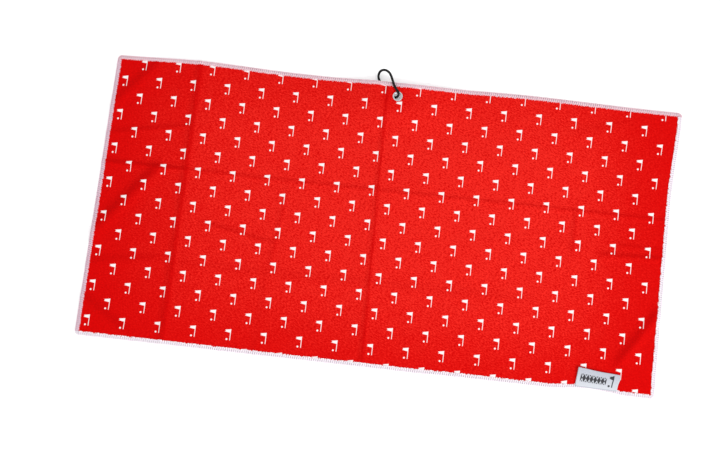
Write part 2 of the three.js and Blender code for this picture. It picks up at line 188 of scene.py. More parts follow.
class Graph:
    """The node tree of one material."""

    def __init__(self, name: str) -> None:
        """Makes an empty material of this name."""
        self.material = bpy.data.materials.new(name)
        self.material.use_nodes = True
        self.tree = self.material.node_tree
        self.tree.nodes.clear()

    def node(
        self, kind: str, settings: dict | None = None, out: int | str = 0, **inputs: "Value"
    ) -> Signal:
        """Adds any node.

        Args:
            kind: the node's type.
            settings: its own settings, set before its sockets.
            out: the output socket to give back.
            inputs: values or links by socket name, a space written as _; i0, i1 name a socket by number.
        Returns:
            The chosen output.
        """
        made = self.tree.nodes.new(kind)
        for key, value in (settings or {}).items():
            setattr(made, key, value)
        for key, value in inputs.items():
            numbered = key[0] == "i" and key[1:].isdigit()
            socket = made.inputs[int(key[1:]) if numbered else key.replace("_", " ")]
            if isinstance(value, Signal):
                self.tree.links.new(value.socket, socket)
            elif isinstance(value, tuple) and socket.type == "RGBA":
                socket.default_value = (*value, 1)
            else:
                socket.default_value = value
        return Signal(self, made.outputs[out])

    def maths(self, operation: str, *values: "Value") -> Signal:
        """Adds one Math node on up to three values."""
        inputs = {f"i{index}": value for index, value in enumerate(values)}
        return self.node("ShaderNodeMath", {"operation": operation}, **inputs)

    def blend(self, factor: "Value", first: "Value", second: "Value") -> Signal:
        """Mixes two colours: the first at factor 0 and the second at factor 1."""
        return self.node(
            "ShaderNodeMix", {"data_type": "RGBA"}, out=2, i0=factor, i6=first, i7=second
        )

    def shaded(self, color: "Value", amount: "Value") -> Signal:
        """A colour made darker or lighter by a number."""
        scale = self.node("ShaderNodeCombineXYZ", X=amount, Y=amount, Z=amount)
        return self.node("ShaderNodeVectorMath", {"operation": "MULTIPLY"}, i0=color, i1=scale)

    def place(self) -> Signal:
        """The point in the object's own coordinates, in metres."""
        return self.node("ShaderNodeTexCoord", out="Object")

    def flat(self, name: str) -> Signal:
        """The point on the flat cloth, from the piece's own UV map, in metres."""
        return self.node("ShaderNodeUVMap", {"uv_map": name})

    def axes(self, vector: Signal) -> tuple[Signal, Signal, Signal]:
        """The three numbers of a vector."""
        parts = self.node("ShaderNodeSeparateXYZ", Vector=vector)
        outputs = parts.socket.node.outputs
        return tuple(Signal(self, outputs[index]) for index in range(3))

    def turned(self, vector: Signal, angle: float, scale: Triple) -> Signal:
        """Turns a point about Z by an angle in degrees and then scales it."""
        spun = self.node(
            "ShaderNodeVectorRotate", {"rotation_type": "Z_AXIS"}, Vector=vector, Angle=math.radians(angle)
        )
        return self.node("ShaderNodeVectorMath", {"operation": "MULTIPLY"}, i0=spun, i1=scale)

    def grain(self, vector: Signal, size: float, detail: float = 2.0, rough: float = 0.5) -> Signal:
        """Noise around 0.5 whose lumps are about this many metres across."""
        return self.node(
            "ShaderNodeTexNoise", {"noise_dimensions": "3D"}, out=0,
            Vector=vector, Scale=1 / size, Detail=detail, Roughness=rough,
        )

    def bump(self, height: "Value", depth: float, strength: float = 1.0) -> Signal:
        """A normal from a height between 0 and 1, for a relief of this many metres."""
        return self.node("ShaderNodeBump", Height=height, Distance=depth, Strength=strength)

    def surface(self, **sockets: "Value") -> bpy.types.Material:
        """Ends the graph in a Principled shader with these sockets."""
        shader = self.node("ShaderNodeBsdfPrincipled", **sockets)
        output = self.tree.nodes.new("ShaderNodeOutputMaterial")
        self.tree.links.new(shader.socket, output.inputs["Surface"])
        return self.material


# ---------------------------------------------------------------- motifs drawn by shader maths
@dataclass(frozen=True)
class PinFlag:
    """A golf hole's flag: a pole with a pennant, and a ball beside its foot. Millimetres."""

    height: float = 15.2
    pole: float = 0.85
    pennant_length: float = 8.6
    pennant_height: float = 5.0
    notch: float = 1.9
    taper: float = 1.1
    swallow: float = 1.3
    ball: float = 1.25
    ball_out: float = 4.4
    soft: float = 0.22

    def mask(self, across: Signal, up: Signal) -> Signal:
        """The flag's ink.

        Args:
            across: distance from the pole, to the right, in millimetres.
            up: distance from the flag's middle, upwards, in millimetres.
        Returns:
            1 on the ink and 0 off it, with a soft edge.
        """
        half = self.height / 2
        pole_side = self.pole / 2 - abs(across)
        pole_end = half - abs(up)
        pole = pole_side.both(pole_end)
        out = self.pole / 2 - across
        drop = abs(up - (half - self.pennant_height / 2))
        slope = (self.pennant_height / 2 - self.taper) / self.pennant_length
        room = self.pennant_height / 2 - out * slope
        tip = self.pennant_length - self.notch + drop * (self.notch / self.swallow) - out
        pennant = (room - drop).both(out).both(tip)
        aside = across + self.ball_out
        above = up + (half - self.ball)
        ball = self.ball - (aside * aside + above * above).root()
        return pole.either(pennant).either(ball).ramp(-self.soft, self.soft)


@dataclass(frozen=True)
class PrintRepeat:
    """How the flags are printed over the cloth: in rows, every second row moved half a pitch."""

    pitch: float = 48.95
    row: float = 24.356
    first_x: float = -356.9
    first_y: float = 190.7
    drift: float = 0.0078
    shear: float = -0.0041

    def mask(self, graph: Graph, x: Signal, y: Signal, flag: PinFlag) -> Signal:
        """The ink of the whole print.

        Args:
            graph: the material it is drawn in; not used.
            x: place along the towel in millimetres.
            y: place across the towel in millimetres.
            flag: the motif.
        Returns:
            1 on the ink and 0 off it.
        """
        height = y - x * self.drift - self.first_y + self.row / 2
        row = (height / self.row).floor()
        up = height - row * self.row - self.row / 2
        odd = abs((row / 2).fraction())
        slid = self.first_x + (self.first_y - y) * self.shear
        across = (x - slid - odd * self.pitch).wrapped(self.pitch)
        return flag.mask(across, up)


# ---------------------------------------------------------------- finishes
@dataclass(frozen=True)
class PrintedMicrofibre:
    """Face of the towel: red microfibre with a fine slanted grain and a white print."""

    # lit and deep are the lit copy and the shaded copy of the red: painted light and painted shade.
    lit: Triple = (0.70, 0.0165, 0.0108)
    deep: Triple = (0.560, 0.0002, 0.0002)
    ink: Triple = (0.80, 0.76, 0.76)
    hem_white: Triple = (0.66, 0.60, 0.66)
    cell: float = 2.3
    flag: PinFlag = PinFlag()
    repeat: PrintRepeat = PrintRepeat()

    def material(self, towel: "TowelSize") -> bpy.types.Material:
        """Builds the finish.

        Args:
            towel: the sizes that say where the hem begins.
        Returns:
            The material.
        """
        graph = Graph("printed_microfibre")
        flat = graph.flat(Cloth.FLAT)
        # Painted shade read from the cloth: the broad shade and the shade along the creases.
        tone = graph.node("ShaderNodeAttribute", {"attribute_name": Cloth.PAINTED_SHADE}, out="Fac")
        fold = graph.node("ShaderNodeAttribute", {"attribute_name": Cloth.CREASE_SHADE}, out="Fac")
        x, y, _ = graph.axes(flat)
        streak = graph.grain(graph.turned(flat, 24, (1 / (3.2 * MM), 1 / (1.6 * MM), 1)), 1.0, 2.0, 0.6)
        pile = graph.grain(flat, 0.6 * MM, 2.0, 0.6)
        cloud = graph.grain(flat, 16 * MM, 2.0, 0.5)
        x, y = x / MM, y / MM
        waffle = abs((x + y * 0.12).sine(2 * self.cell)) * abs(y.sine(2 * self.cell))
        ink_edge = (graph.grain(flat, 0.5 * MM, 1.0) - 0.5) * 0.55
        ink = self.repeat.mask(graph, x + ink_edge, y + ink_edge, self.flag)
        mottle = (streak - 0.5) * 5.4 + (pile - 0.5) * 1.2 + (cloud - 0.5) * 0.8
        # Painted light and shade: the red goes from its shaded copy to its lit copy as the painted shade
        # and the grain rise.
        red = graph.blend((tone * fold * (1 + mottle)).ramp(-0.02, 1.35), self.deep, self.lit)
        # Darker again along the creases by painted crease shade, and a little by the waffle and the grain.
        wear_grain_and_shade = 0.78 + fold * 0.18 + waffle * 0.08 + (streak - 0.5) * 0.62
        red = graph.shaded(red, wear_grain_and_shade)
        inked = graph.blend(ink * (0.93 + streak * 0.1), red, self.ink)
        edge_x = towel.length / 2 - towel.hem_width + 0.5 - abs(x)
        edge_y = towel.width / 2 - towel.hem_width + 0.5 - abs(y)
        cloth = edge_x.both(edge_y).ramp(-0.3, 0.3)
        color = graph.blend(cloth, self.hem_white, inked)
        relief = waffle * 0.45 + streak * 0.5 + pile * 0.25
        return graph.surface(
            Base_Color=color,
            Roughness=0.97 - ink * 0.06 - streak * 0.08,
            Specular_IOR_Level=0.06,
            Normal=graph.bump(relief, 0.34 * MM, 0.75),
        )


@dataclass(frozen=True)
class PlainMicrofibre:
    """Back of the towel: undyed microfibre with the same grain."""

    white: Triple = (0.80, 0.74, 0.74)
    shade: Triple = (0.62, 0.50, 0.51)
    cell: float = 2.3

    def material(self) -> bpy.types.Material:
        """Builds the finish."""
        graph = Graph("plain_microfibre")
        flat = graph.flat(Cloth.FLAT)
        x, y, _ = graph.axes(flat)
        x, y = x / MM, y / MM
        loops = abs((x + y * 0.12).sine(2 * self.cell)) * abs(y.sine(2 * self.cell))
        streak = graph.grain(graph.turned(flat, 32, (1 / (2.6 * MM), 1 / (0.9 * MM), 1)), 1.0)
        color = graph.blend((loops * 0.6 + streak * 0.6).ramp(0.1, 0.9), self.shade, self.white)
        return graph.surface(
            Base_Color=color,
            Roughness=0.97 - streak * 0.08,
            Specular_IOR_Level=0.12,
            Normal=graph.bump(loops * 0.6 + streak * 0.4, 0.4 * MM, 0.8),
        )


@dataclass(frozen=True)
class WoollyThread:
    """Soft textured thread of the overlocked hem, twisted and a little fuzzy."""

    name: str
    white: Triple
    shade: Triple
    twist: float = 0.55

    def material(self) -> bpy.types.Material:
        """Builds the finish."""
        graph = Graph(self.name)
        point = graph.place()
        x, y, z = graph.axes(point)
        ply = ((x + y * 0.8 + z * 0.9) / MM).sine(self.twist)
        fuzz = graph.grain(point, 0.35 * MM, 3.0, 0.65)
        soiling = graph.grain(point, 28 * MM, 2.0)
        amount = (fuzz * 0.8 + soiling * 0.5 + ply * 0.1).ramp(0.32, 0.86)
        return graph.surface(
            Base_Color=graph.blend(amount, self.shade, self.white),
            Roughness=0.9 - fuzz * 0.12,
            Specular_IOR_Level=0.15,
            Normal=graph.bump(ply * 0.35 + fuzz, 0.22 * MM, 0.8),
        )


@dataclass(frozen=True)
class LabelWeave:
    """Pale ribbed tape with a woven row of diamonds and one pin flag. Millimetres."""

    pale: Triple = (0.45, 0.47, 0.535)
    lit: Triple = (0.59, 0.61, 0.66)
    dark: Triple = (0.010, 0.010, 0.014)
    rib: float = 0.62
    diamonds: int = 7
    spacing: float = 5.3
    half_height: float = 4.9
    row_start: float = 5.4
    row_height: float = 11.4
    flag_x: float = 51.6
    flag: PinFlag = PinFlag(
        height=16.5, pole=1.5, pennant_length=7.0, pennant_height=6.4, notch=1.6, ball=1.6, soft=0.16
    )
    flag_rise: float = 1.0
    cord: float = 0.42

    def material(self, size: "LabelSize") -> bpy.types.Material:
        """Builds the finish.

        Args:
            size: the tape's size, whose UV map runs along the width and up from the seam.
        Returns:
            The material.
        """
        graph = Graph("woven_label")
        flat = graph.flat(SideLabel.FLAT)
        u, v, _ = graph.axes(flat)
        u, v = u / MM, v / MM
        jag = (v / self.rib).floor() * self.rib
        along = u - self.row_start
        level = abs(jag - self.row_height) / self.half_height
        cell = abs(along.wrapped(self.spacing)) / (self.spacing / 2)
        inside = (1.06 - cell - level).ramp(-0.04, 0.04)
        outside = (cell + level - 1.55).ramp(-0.04, 0.04)
        diamond = inside.either(outside)
        row = (along > 0) * (along < self.diamonds * self.spacing) * (level < 1.0)
        flag = self.flag.mask(u - self.flag_x, jag - self.row_height - self.flag_rise)
        ink = (diamond * row).either(flag) * (v < size.height)
        ribs = v.sine(self.rib) * 0.5 + 0.5
        warp = u.sine(self.cord) * 0.5 + 0.5
        slub = graph.grain(graph.turned(flat, 0, (1 / (6 * MM), 1 / (0.5 * MM), 1)), 1.0, 2.0)
        # Painted light: the tape is lit at its seam end and shaded towards its fold.
        base = graph.blend((size.height - v).ramp(0.0, size.height), self.pale, self.lit)
        base = graph.shaded(base, 0.86 + ribs * 0.1 + slub * 0.12)
        return graph.surface(
            Base_Color=graph.blend(ink * (0.9 + slub * 0.1), base, self.dark),
            Roughness=0.66 - ribs * 0.12 + slub * 0.1,
            Specular_IOR_Level=0.3,
            Normal=graph.bump(ribs * 0.7 + warp * 0.3 + ink * 0.35, 0.16 * MM, 0.9),
        )


@dataclass(frozen=True)
class Metal:
    """A metal surface with fine rubbing and slightly uneven gloss."""

    name: str
    color: Triple
    tarnish: Triple
    roughness: float
    metallic: float = 1.0
    specular: float = 0.5
    scratch: float = 1.6
    relief: float = 0.02

    def material(self) -> bpy.types.Material:
        """Builds the finish."""
        graph = Graph(self.name)
        point = graph.place()
        stretch = (1 / (self.scratch * MM), 1 / (0.09 * MM), 1 / (0.5 * MM))
        rub = graph.grain(graph.turned(point, 24, stretch), 1.0)
        cloud = graph.grain(point, 3.2 * MM, 3.0, 0.6)
        speck = graph.grain(point, 0.4 * MM, 2.0, 0.7)
        wear_grain_and_shade = (cloud * 0.6 + speck * 0.5).ramp(0.5, 0.82)
        return graph.surface(
            Base_Color=graph.blend(wear_grain_and_shade, self.color, self.tarnish),
            Metallic=self.metallic,
            Roughness=self.roughness + (rub - 0.5) * 0.14 + wear_grain_and_shade * 0.12,
            Specular_IOR_Level=self.specular,
            Normal=graph.bump(rub * 0.6 + speck * 0.4, self.relief * MM, 0.5),
        )


class Steelwork(Enum):
    """The metal finishes on the towel."""

    NICKEL = Metal("bright_nickel", (0.62, 0.62, 0.64), (0.42, 0.41, 0.40), 0.2)
    BLACK = Metal(
        "black_anodised", (0.0035, 0.0035, 0.004), (0.012, 0.012, 0.012), 0.26, metallic=0.0, specular=0.16
    )
    PIN = Metal("steel_pin", (0.58, 0.58, 0.59), (0.4, 0.39, 0.38), 0.3)
    SPRING = Metal("spring_steel", (0.36, 0.37, 0.39), (0.24, 0.23, 0.22), 0.34)


@dataclass(frozen=True)
class PaleFloor:
    """Plain matt floor."""

    color: Triple = (0.95, 0.95, 0.952)
    glow: float = 0.14

    def material(self) -> bpy.types.Material:
        """Builds the finish."""
        graph = Graph("pale_floor")
        fine = graph.grain(graph.place(), 0.3, 2.0)
        return graph.surface(
            Base_Color=graph.shaded(self.color, 0.995 + fine * 0.01),
            Roughness=0.9,
            Emission_Color=self.color,
            Emission_Strength=self.glow,
        )


# ---------------------------------------------------------------- mesh helpers
def finished(
    name: str,
    shape: bmesh.types.BMesh,
    materials: Sequence[bpy.types.Material],
    slot: str,
    body: str,
    *replaced: str,
) -> bpy.types.Object:
    """Turns a bmesh into a piece that rides on a body.

    Args:
        name: the piece's name.
        shape: its mesh, in metres in the row frame; it is freed.
        materials: its materials, in the order of its faces' material numbers.
        slot: a material slot's name; not used.
        body: the body it rides on.
        replaced: the CAD nodes it stands for.
    Returns:
        The object.
    """
    mesh = bpy.data.meshes.new(name)
    for face in shape.faces:
        face.smooth = True
    shape.to_mesh(mesh)
    shape.free()
    for material in materials:
        mesh.materials.append(material)
    piece = bpy.data.objects.new(name, mesh)
    bpy.context.scene.collection.objects.link(piece)
    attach(piece, body)
    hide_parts(*replaced)
    LOG.info("%s: %d faces on %s", name, len(mesh.polygons), body)
    return piece


def sharpened(piece: bpy.types.Object, angle: float) -> None:
    """Marks every edge that turns by more than this many degrees as sharp."""
    piece.data.set_sharp_from_angle(angle=math.radians(angle))


def sweep(shape: bmesh.types.BMesh, stations: Sequence[Matrix], sides: int) -> None:
    """Extrudes a ring of unit radius from station to station and closes both ends.

    Args:
        shape: the mesh it is added to.
        stations: where each ring lies: the ring is in the matrix's XY plane.
        sides: corners of the ring.
    """
    first = bmesh.ops.create_circle(shape, segments=sides, radius=1.0, matrix=stations[0])["verts"]
    ring = list({edge for vert in first for edge in vert.link_edges})
    ends = list(ring)
    for before, after in zip(stations, stations[1:]):
        made = bmesh.ops.extrude_edge_only(shape, edges=ring)["geom"]
        verts = [item for item in made if isinstance(item, bmesh.types.BMVert)]
        fresh = set(verts)
        edges = {edge for vert in verts for edge in vert.link_edges}
        ring = [edge for edge in edges if edge.verts[0] in fresh and edge.verts[1] in fresh]
        bmesh.ops.transform(shape, matrix=after @ before.inverted(), verts=verts)
    bmesh.ops.edgeloop_fill(shape, edges=ends)
    bmesh.ops.edgeloop_fill(shape, edges=ring)


def frame_at(point: Vector, along: Vector, up: Vector, wide: float, tall: float) -> Matrix:
    """A station for a sweep.

    Args:
        point: centre of the ring.
        along: the way the sweep goes.
        up: the way the ring's second axis points, as nearly as it can.
        wide: half size across.
        tall: half size along up.
    Returns:
        The matrix that takes a unit ring there.
    """
    forward = along.normalized()
    side = up.cross(forward).normalized()
    rise = forward.cross(side)
    matrix = Matrix.Identity(4)
    for index, column in enumerate((side * wide, rise * tall, forward * min(wide, tall), point)):
        for row in range(3):
            matrix[row][index] = column[row]
    return matrix


def turned_ring(profile: Sequence[Pair], centre: Vector, steps: int) -> bmesh.types.BMesh:
    """Spins a closed profile of radius and height about a vertical axis.

    Args:
        profile: corners in millimetres, in order round the section.
        centre: point on the axis at height 0, in metres.
        steps: how many faces the full turn has.
    Returns:
        A new closed mesh.
    """
    shape = bmesh.new()
    verts = [shape.verts.new(centre + Vector((r, 0, h)) * MM) for r, h in profile]
    edges = [shape.edges.new((a, b)) for a, b in zip(verts, verts[1:] + verts[:1])]
    bmesh.ops.spin(shape, geom=[*verts, *edges], cent=centre, axis=(0, 0, 1), angle=2 * math.pi,
                   steps=steps, use_merge=True, use_duplicate=False)
    bmesh.ops.remove_doubles(shape, verts=shape.verts, dist=1e-7)
    bmesh.ops.recalc_face_normals(shape, faces=shape.faces)
    return shape


def arc(centre: Pair, radius: float, start: float, end: float, steps: int) -> list[Pair]:
    """Points on an arc, both ends included, angles in degrees."""
    angles = [math.radians(mix(start, end, step / steps)) for step in range(steps + 1)]
    return [(centre[0] + radius * math.cos(a), centre[1] + radius * math.sin(a)) for a in angles]


# ---------------------------------------------------------------- how the cloth lies
@dataclass(frozen=True)
class Crease:
    """A pressed line or a soft wrinkle between two points of the flat cloth. Millimetres."""

    start: Pair
    end: Pair
    height: float
    width: float
    fade: float = 24.0
    shade: float = 0.3

    def rise(self, x: float, y: float) -> Pair:
        """How the crease shapes the cloth at a point.

        Args:
            x: place along the towel.
            y: place across the towel.
        Returns:
            The height in millimetres, and how much of the crease's shade is there, from 0 to 1.
        """
        run_x, run_y = self.end[0] - self.start[0], self.end[1] - self.start[1]
        length = math.hypot(run_x, run_y)
        from_x, from_y = x - self.start[0], y - self.start[1]
        across = (from_x * run_y - from_y * run_x) / length
        if abs(across) > 3 * self.width:
            return 0.0, 0.0
        along = (from_x * run_x + from_y * run_y) / length
        ends = 1.0
        if self.fade:
            ends = smooth(0.5 + along / self.fade) * smooth(0.5 + (length - along) / self.fade)
        # The crease's shade is painted shade, set off to one side of its crest.
        shade = math.exp(-(((across + self.width * 0.4) / (self.width * 0.75)) ** 2)) * ends
        return self.height * math.exp(-((across / self.width) ** 2)) * ends, self.shade * shade


@dataclass(frozen=True)
class TowelSize:
    """Sizes of the towel in millimetres."""

    length: float = 800.0
    width: float = 400.0
    corner: float = 6.0
    thickness: float = 1.6
    hem_width: float = 5.2
    pressed: float = 0.8
    eyelet: float = 7.2


@dataclass(frozen=True)
class Outline:
    """How far each edge lies out of square, in millimetres; a hump or step is (size, place, reach)."""

    top: float = 0.6
    top_humps: tuple[Triple, ...] = ((3.4, -275, 150), (2.6, 190, 165))
    bottom: float = -1.9
    bottom_step: Triple = (0.9, 60, 60)
    bottom_hump: Triple = (4.6, 308, 60)
    left: float = -0.4
    left_lean: float = 0.0117
    right: float = -4.6
    right_step: Triple = (5.6, 70, 120)

    def shifts(self, x: float, y: float) -> tuple[float, float, float, float]:
        """The shifts of the top, bottom, left and right edges beside a point of the flat cloth."""
        top = self.top
        for size, place, reach in self.top_humps:
            top += size * bell((x - place) / reach)
        step, place, reach = self.bottom_step
        bottom = self.bottom + step * smooth((x - place) / reach)
        size, place, reach = self.bottom_hump
        bottom += size * bell((x - place) / reach)
        left = self.left + self.left_lean * y
        step, place, reach = self.right_step
        right = self.right + step * smooth((y - place) / reach)
        return top, bottom, left, right


@dataclass
class ClothLie:
    """Takes a point of the flat cloth to where it lies: held up at the clip and creased."""

    size: TowelSize = field(default_factory=TowelSize)
    outline: Outline = Outline()
    level: float = 8.4
    side_run: float = 100.0
    in_run: float = 56.0
    hem_rise: float = 2.6
    swell: float = 0.9
    far_waves: Pair = (105.0, 80.0)
    near_waves: Pair = (38.0, 30.0)
    creases: tuple[Crease, ...] = (
        Crease((-281, 210), (-281, -210), 1.9, 4.4, 0, 0.75),
        Crease((-286, 210), (-280, -210), 1.3, 58, 0, 0.0),
        Crease((-14, 210), (-4, -210), 1.4, 2.8, 0, 0.75),
        Crease((-14, 210), (-6, -210), 0.7, 26, 0, 0.0),
        Crease((-410, 44.5), (410, 46), 0.9, 2.8, 0, 0.45),
        Crease((-400, 45), (-285, 45), 1.1, 4.2, 30, 0.5),
        Crease((-136, 34), (-146, -75), 0.8, 3.2, 30, 0.4),
        Crease((-148, -90), (-150, -205), 0.5, 3.4, 40, 0.15),
        Crease((268, 45), (268, -15), 1.0, 3.2, 24, 0.5),
        Crease((308, -12), (405, -8), 1.4, 5, 24, 0.5),
        Crease((330, 4), (400, 3), 0.7, 4, 24, 0.35),
        Crease((300, 2), (140, -6), 0.5, 9, 24, 0.1),
        Crease((343, -162), (398, -80), 2.0, 8, 24, 0.7),
        Crease((-404, 120), (-340, 192), 1.6, 9, 24, 0.55),
        Crease((-406, -67), (-316, 46), 2.4, 10, 24, 0.75),
        Crease((-398, 86), (-288, 106), 0.9, 4.5, 24, 0.4),
        Crease((-404, -142), (-328, -190), 1.6, 9, 24, 0.6),
        Crease((-400, -98), (-300, -84), 1.0, 8, 24, 0.3),
        Crease((-278, -90), (220, -87), 0.5, 9, 90, 0.12),
        Crease((-245, -27), (-145, -45), 1.0, 4, 24, 0.4),
        Crease((60, 120), (190, 96), 0.5, 12, 60, 0.05),
        Crease((250, 150), (330, 176), 0.7, 10, 50, 0.1),
        Crease((-60, -150), (-150, -182), 0.7, 9, 50, 0.1),
    )
    # Painted shade along and across the towel: darker towards the ends, the left panel and the long edges.
    along_shade: tuple[Pair, ...] = (
        (-400, 0.08), (-370, 0.16), (-320, 0.4), (-286, 0.46), (-276, 0.62), (-255, 0.64),
        (-200, 0.76), (-120, 0.82), (-40, 0.92), (40, 0.94), (120, 0.98), (200, 1.0),
        (280, 0.78), (350, 0.34), (400, 0.18),
    )
    across_shade: tuple[Pair, ...] = (
        (-200, 0.3), (-165, 0.48), (-110, 0.8), (-55, 0.92), (0, 1.0), (110, 1.0),
        (165, 0.76), (200, 0.6),
    )

    def __post_init__(self) -> None:
        """Finds the grommet in the frame."""
        low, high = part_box("grommet_eyelet")
        self.hole = (low + high) / 2 / MM
        label_low, label_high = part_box("side_label")
        self.label = (label_low + label_high) / 2 / MM

    def calm(self, x: float, y: float) -> float:
        """0 where the cloth is held by the grommet or lies under the label, and 1 away from them."""
        at_hole = smooth((math.hypot(x - self.hole.x, y - self.hole.y) - 16) / 40)
        at_label = smooth((math.hypot((x - self.label.x) / 2, y - self.label.y) - 18) / 22)
        return at_hole * at_label

    def lift(self, x: float, y: float) -> float:
        """How far the clip holds the cloth off the table."""
        along = (abs(x - self.hole.x) - self.level) / self.side_run
        inwards = (self.hole.y - self.level - y) / self.in_run
        up = max(0.0, y - self.hole.y - self.level) / (self.size.width / 2 - self.hole.y - self.level)
        crest = self.hole.z - self.size.thickness / 2 + up * self.hem_rise
        ease = [0.5 + 0.5 * math.cos(math.pi * clamp01(t)) for t in (along, inwards)]
        return crest * ease[0] * ease[1]

    def height(self, x: float, y: float) -> float:
        """Height of the cloth's underside above the table in millimetres."""
        far = noise.noise(Vector((x / self.far_waves[0], y / self.far_waves[1], 3.7)))
        near = noise.noise(Vector((x / self.near_waves[0], y / self.near_waves[1], 8.1)))
        rolling = far + 0.5 * near
        raised = sum(crease.rise(x, y)[0] for crease in self.creases)
        raised += self.swell * max(0.0, rolling + 0.25)
        return self.lift(x, y) + raised * self.calm(x, y)

    def tone(self, x: float, y: float) -> float:
        """How bright the pile is painted, from 0 to 1, as painted shade: darkest at the ends and round the
        grommet.
        """
        around = smooth((math.hypot(x - self.hole.x, y - self.hole.y) - 8) / 26)
        return between(self.along_shade, x) * between(self.across_shade, y) * mix(0.6, 1, around)

    def fold(self, x: float, y: float) -> float:
        """1 on open cloth, and less along the creases, where painted shade lies beside each crease's crest.
        """
        kept = 1.0
        for crease in self.creases:
            kept *= 1 - crease.rise(x, y)[1]
        return kept

    def pull(self, x: float, y: float) -> Pair:
        """How far the cloth has been pulled out of square.

        Args:
            x: place along the towel.
            y: place across the towel.
        Returns:
            The shift along and across, in millimetres.
        """
        top, bottom, left, right = self.outline.shifts(x, y)
        u = clamp01(x / self.size.length + 0.5)
        v = clamp01(y / self.size.width + 0.5)
        held = smooth((math.hypot(x - self.hole.x, y - self.hole.y) - 8) / 36)
        shift_x = left * (1 - u) ** 4 + right * u ** 4
        shift_y = top * v ** 4 + bottom * (1 - v) ** 4
        return shift_x * held, shift_y * held

    def place(self, x: float, y: float, up: float) -> Vector:
        """A point of the cloth, or this far above its underside, in metres in the row frame."""
        shift_x, shift_y = self.pull(x, y)
        return Vector((x + shift_x, y + shift_y, self.height(x, y) + up)) * MM


# ---------------------------------------------------------------- the cloth
@dataclass
class Cloth:
    """The towel's panel: one closed sheet, printed on its upper face."""

    FLAT = "flat_cloth"
    PAINTED_SHADE = "cloth_painted_shade"
    CREASE_SHADE = "cloth_crease_shade"

    lie: ClothLie
    cell: float = 2.8
    inset: float = 1.5
    hole: float = 6.0
    fine_radius: float = 20.0
    pucker: float = 0.22
    puckers: int = 9

    def pressed(self, x: float, y: float) -> float:
        """How thick the cloth is at a point: thin under the hem's thread and under the grommet."""
        size = self.lie.size
        from_hole = math.hypot(x - self.lie.hole.x, y - self.lie.hole.y)
        in_hem = min(size.length / 2 - abs(x), size.width / 2 - abs(y))
        free = smooth((in_hem - 2.5) / 3.2) * smooth((from_hole - size.eyelet + 0.4) / 2.6)
        return mix(size.pressed, size.thickness, free)

    def build(self, face: bpy.types.Material, back: bpy.types.Material) -> bpy.types.Object:
        """Makes the panel.

        Args:
            face: material of the printed side.
            back: material of the other side.
        Returns:
            The piece.
        """
        size, lie = self.lie.size, self.lie
        across = size.length - 2 * self.inset
        down = size.width - 2 * self.inset
        shape = bmesh.new()
        layer = shape.loops.layers.uv.new(self.FLAT)
        for name in (self.PAINTED_SHADE, self.CREASE_SHADE):
            shape.verts.layers.float.new(name)
        tone, fold = (shape.verts.layers.float[name] for name in (self.PAINTED_SHADE, self.CREASE_SHADE))
        bmesh.ops.create_grid(
            shape,
            x_segments=round(across / self.cell),
            y_segments=round(down / self.cell),
            size=0.5,
            matrix=Matrix.Diagonal((across, down, 1, 1)),
        )
        near = [e for e in shape.edges if all(self._reach(v) < self.fine_radius for v in e.verts)]
        bmesh.ops.subdivide_edges(shape, edges=near, cuts=1, use_grid_fill=True)
        inside = [f for f in shape.faces if all(self._reach(v) < self.hole for v in f.verts)]
        bmesh.ops.delete(shape, geom=inside, context="FACES")
        self._round_hole(shape)
        self._round_corners(shape)
        top = list(shape.faces)
        made = bmesh.ops.extrude_face_region(shape, geom=top)["geom"]
        upper = {item for item in made if isinstance(item, bmesh.types.BMVert)}
        below = [face for face in top if face.is_valid]
        for item in shape.faces:
            for loop in item.loops:
                loop[layer].uv = (loop.vert.co.x * MM, loop.vert.co.y * MM)
        for item in below:
            item.material_index = 1
        for vert in shape.verts:
            x, y = vert.co.x, vert.co.y
            # Each point keeps the cloth's painted shade and its painted crease shade for the face's
            # material.
            vert[tone], vert[fold] = lie.tone(x, y), lie.fold(x, y)
            thick = self.pressed(x, y)
            ring = math.hypot(x - lie.hole.x, y - lie.hole.y)
            angle = math.atan2(y - lie.hole.y, x - lie.hole.x)
            gather = self.pucker * math.sin(self.puckers * angle) * bell((ring - 10.5) / 4)
            middle = size.thickness / 2
            up = middle + thick / 2 + gather if vert in upper else middle - thick / 2
            vert.co = lie.place(x, y, up)
        bmesh.ops.recalc_face_normals(shape, faces=shape.faces)
        return finished("towel_cloth", shape, (face, back), "towel_cloth", "towel", "towel_panel")

    def _reach(self, vert: bmesh.types.BMVert) -> float:
        """Flat distance from the middle of the grommet, in millimetres."""
        return math.hypot(vert.co.x - self.lie.hole.x, vert.co.y - self.lie.hole.y)

    def _round_hole(self, shape: bmesh.types.BMesh) -> None:
        """Moves the rim of the cut hole onto a circle."""
        centre = Vector((self.lie.hole.x, self.lie.hole.y, 0))
        for vert in shape.verts:
            if vert.is_boundary and self._reach(vert) < 2 * self.hole:
                vert.co = centre + (vert.co - centre).normalized() * self.hole

    def _round_corners(self, shape: bmesh.types.BMesh) -> None:
        """Draws the four corners in so that they stay inside the rounded hem."""
        size = self.lie.size
        middle_x = size.length / 2 - size.corner
        middle_y = size.width / 2 - size.corner
        radius = size.corner - self.inset
        for vert in shape.verts:
            out = Vector((abs(vert.co.x) - middle_x, abs(vert.co.y) - middle_y))
            if min(out) > 0 and out.length > radius:
                out = out.normalized() * radius
                vert.co.x = math.copysign(middle_x + out.x, vert.co.x)
                vert.co.y = math.copysign(middle_y + out.y, vert.co.y)


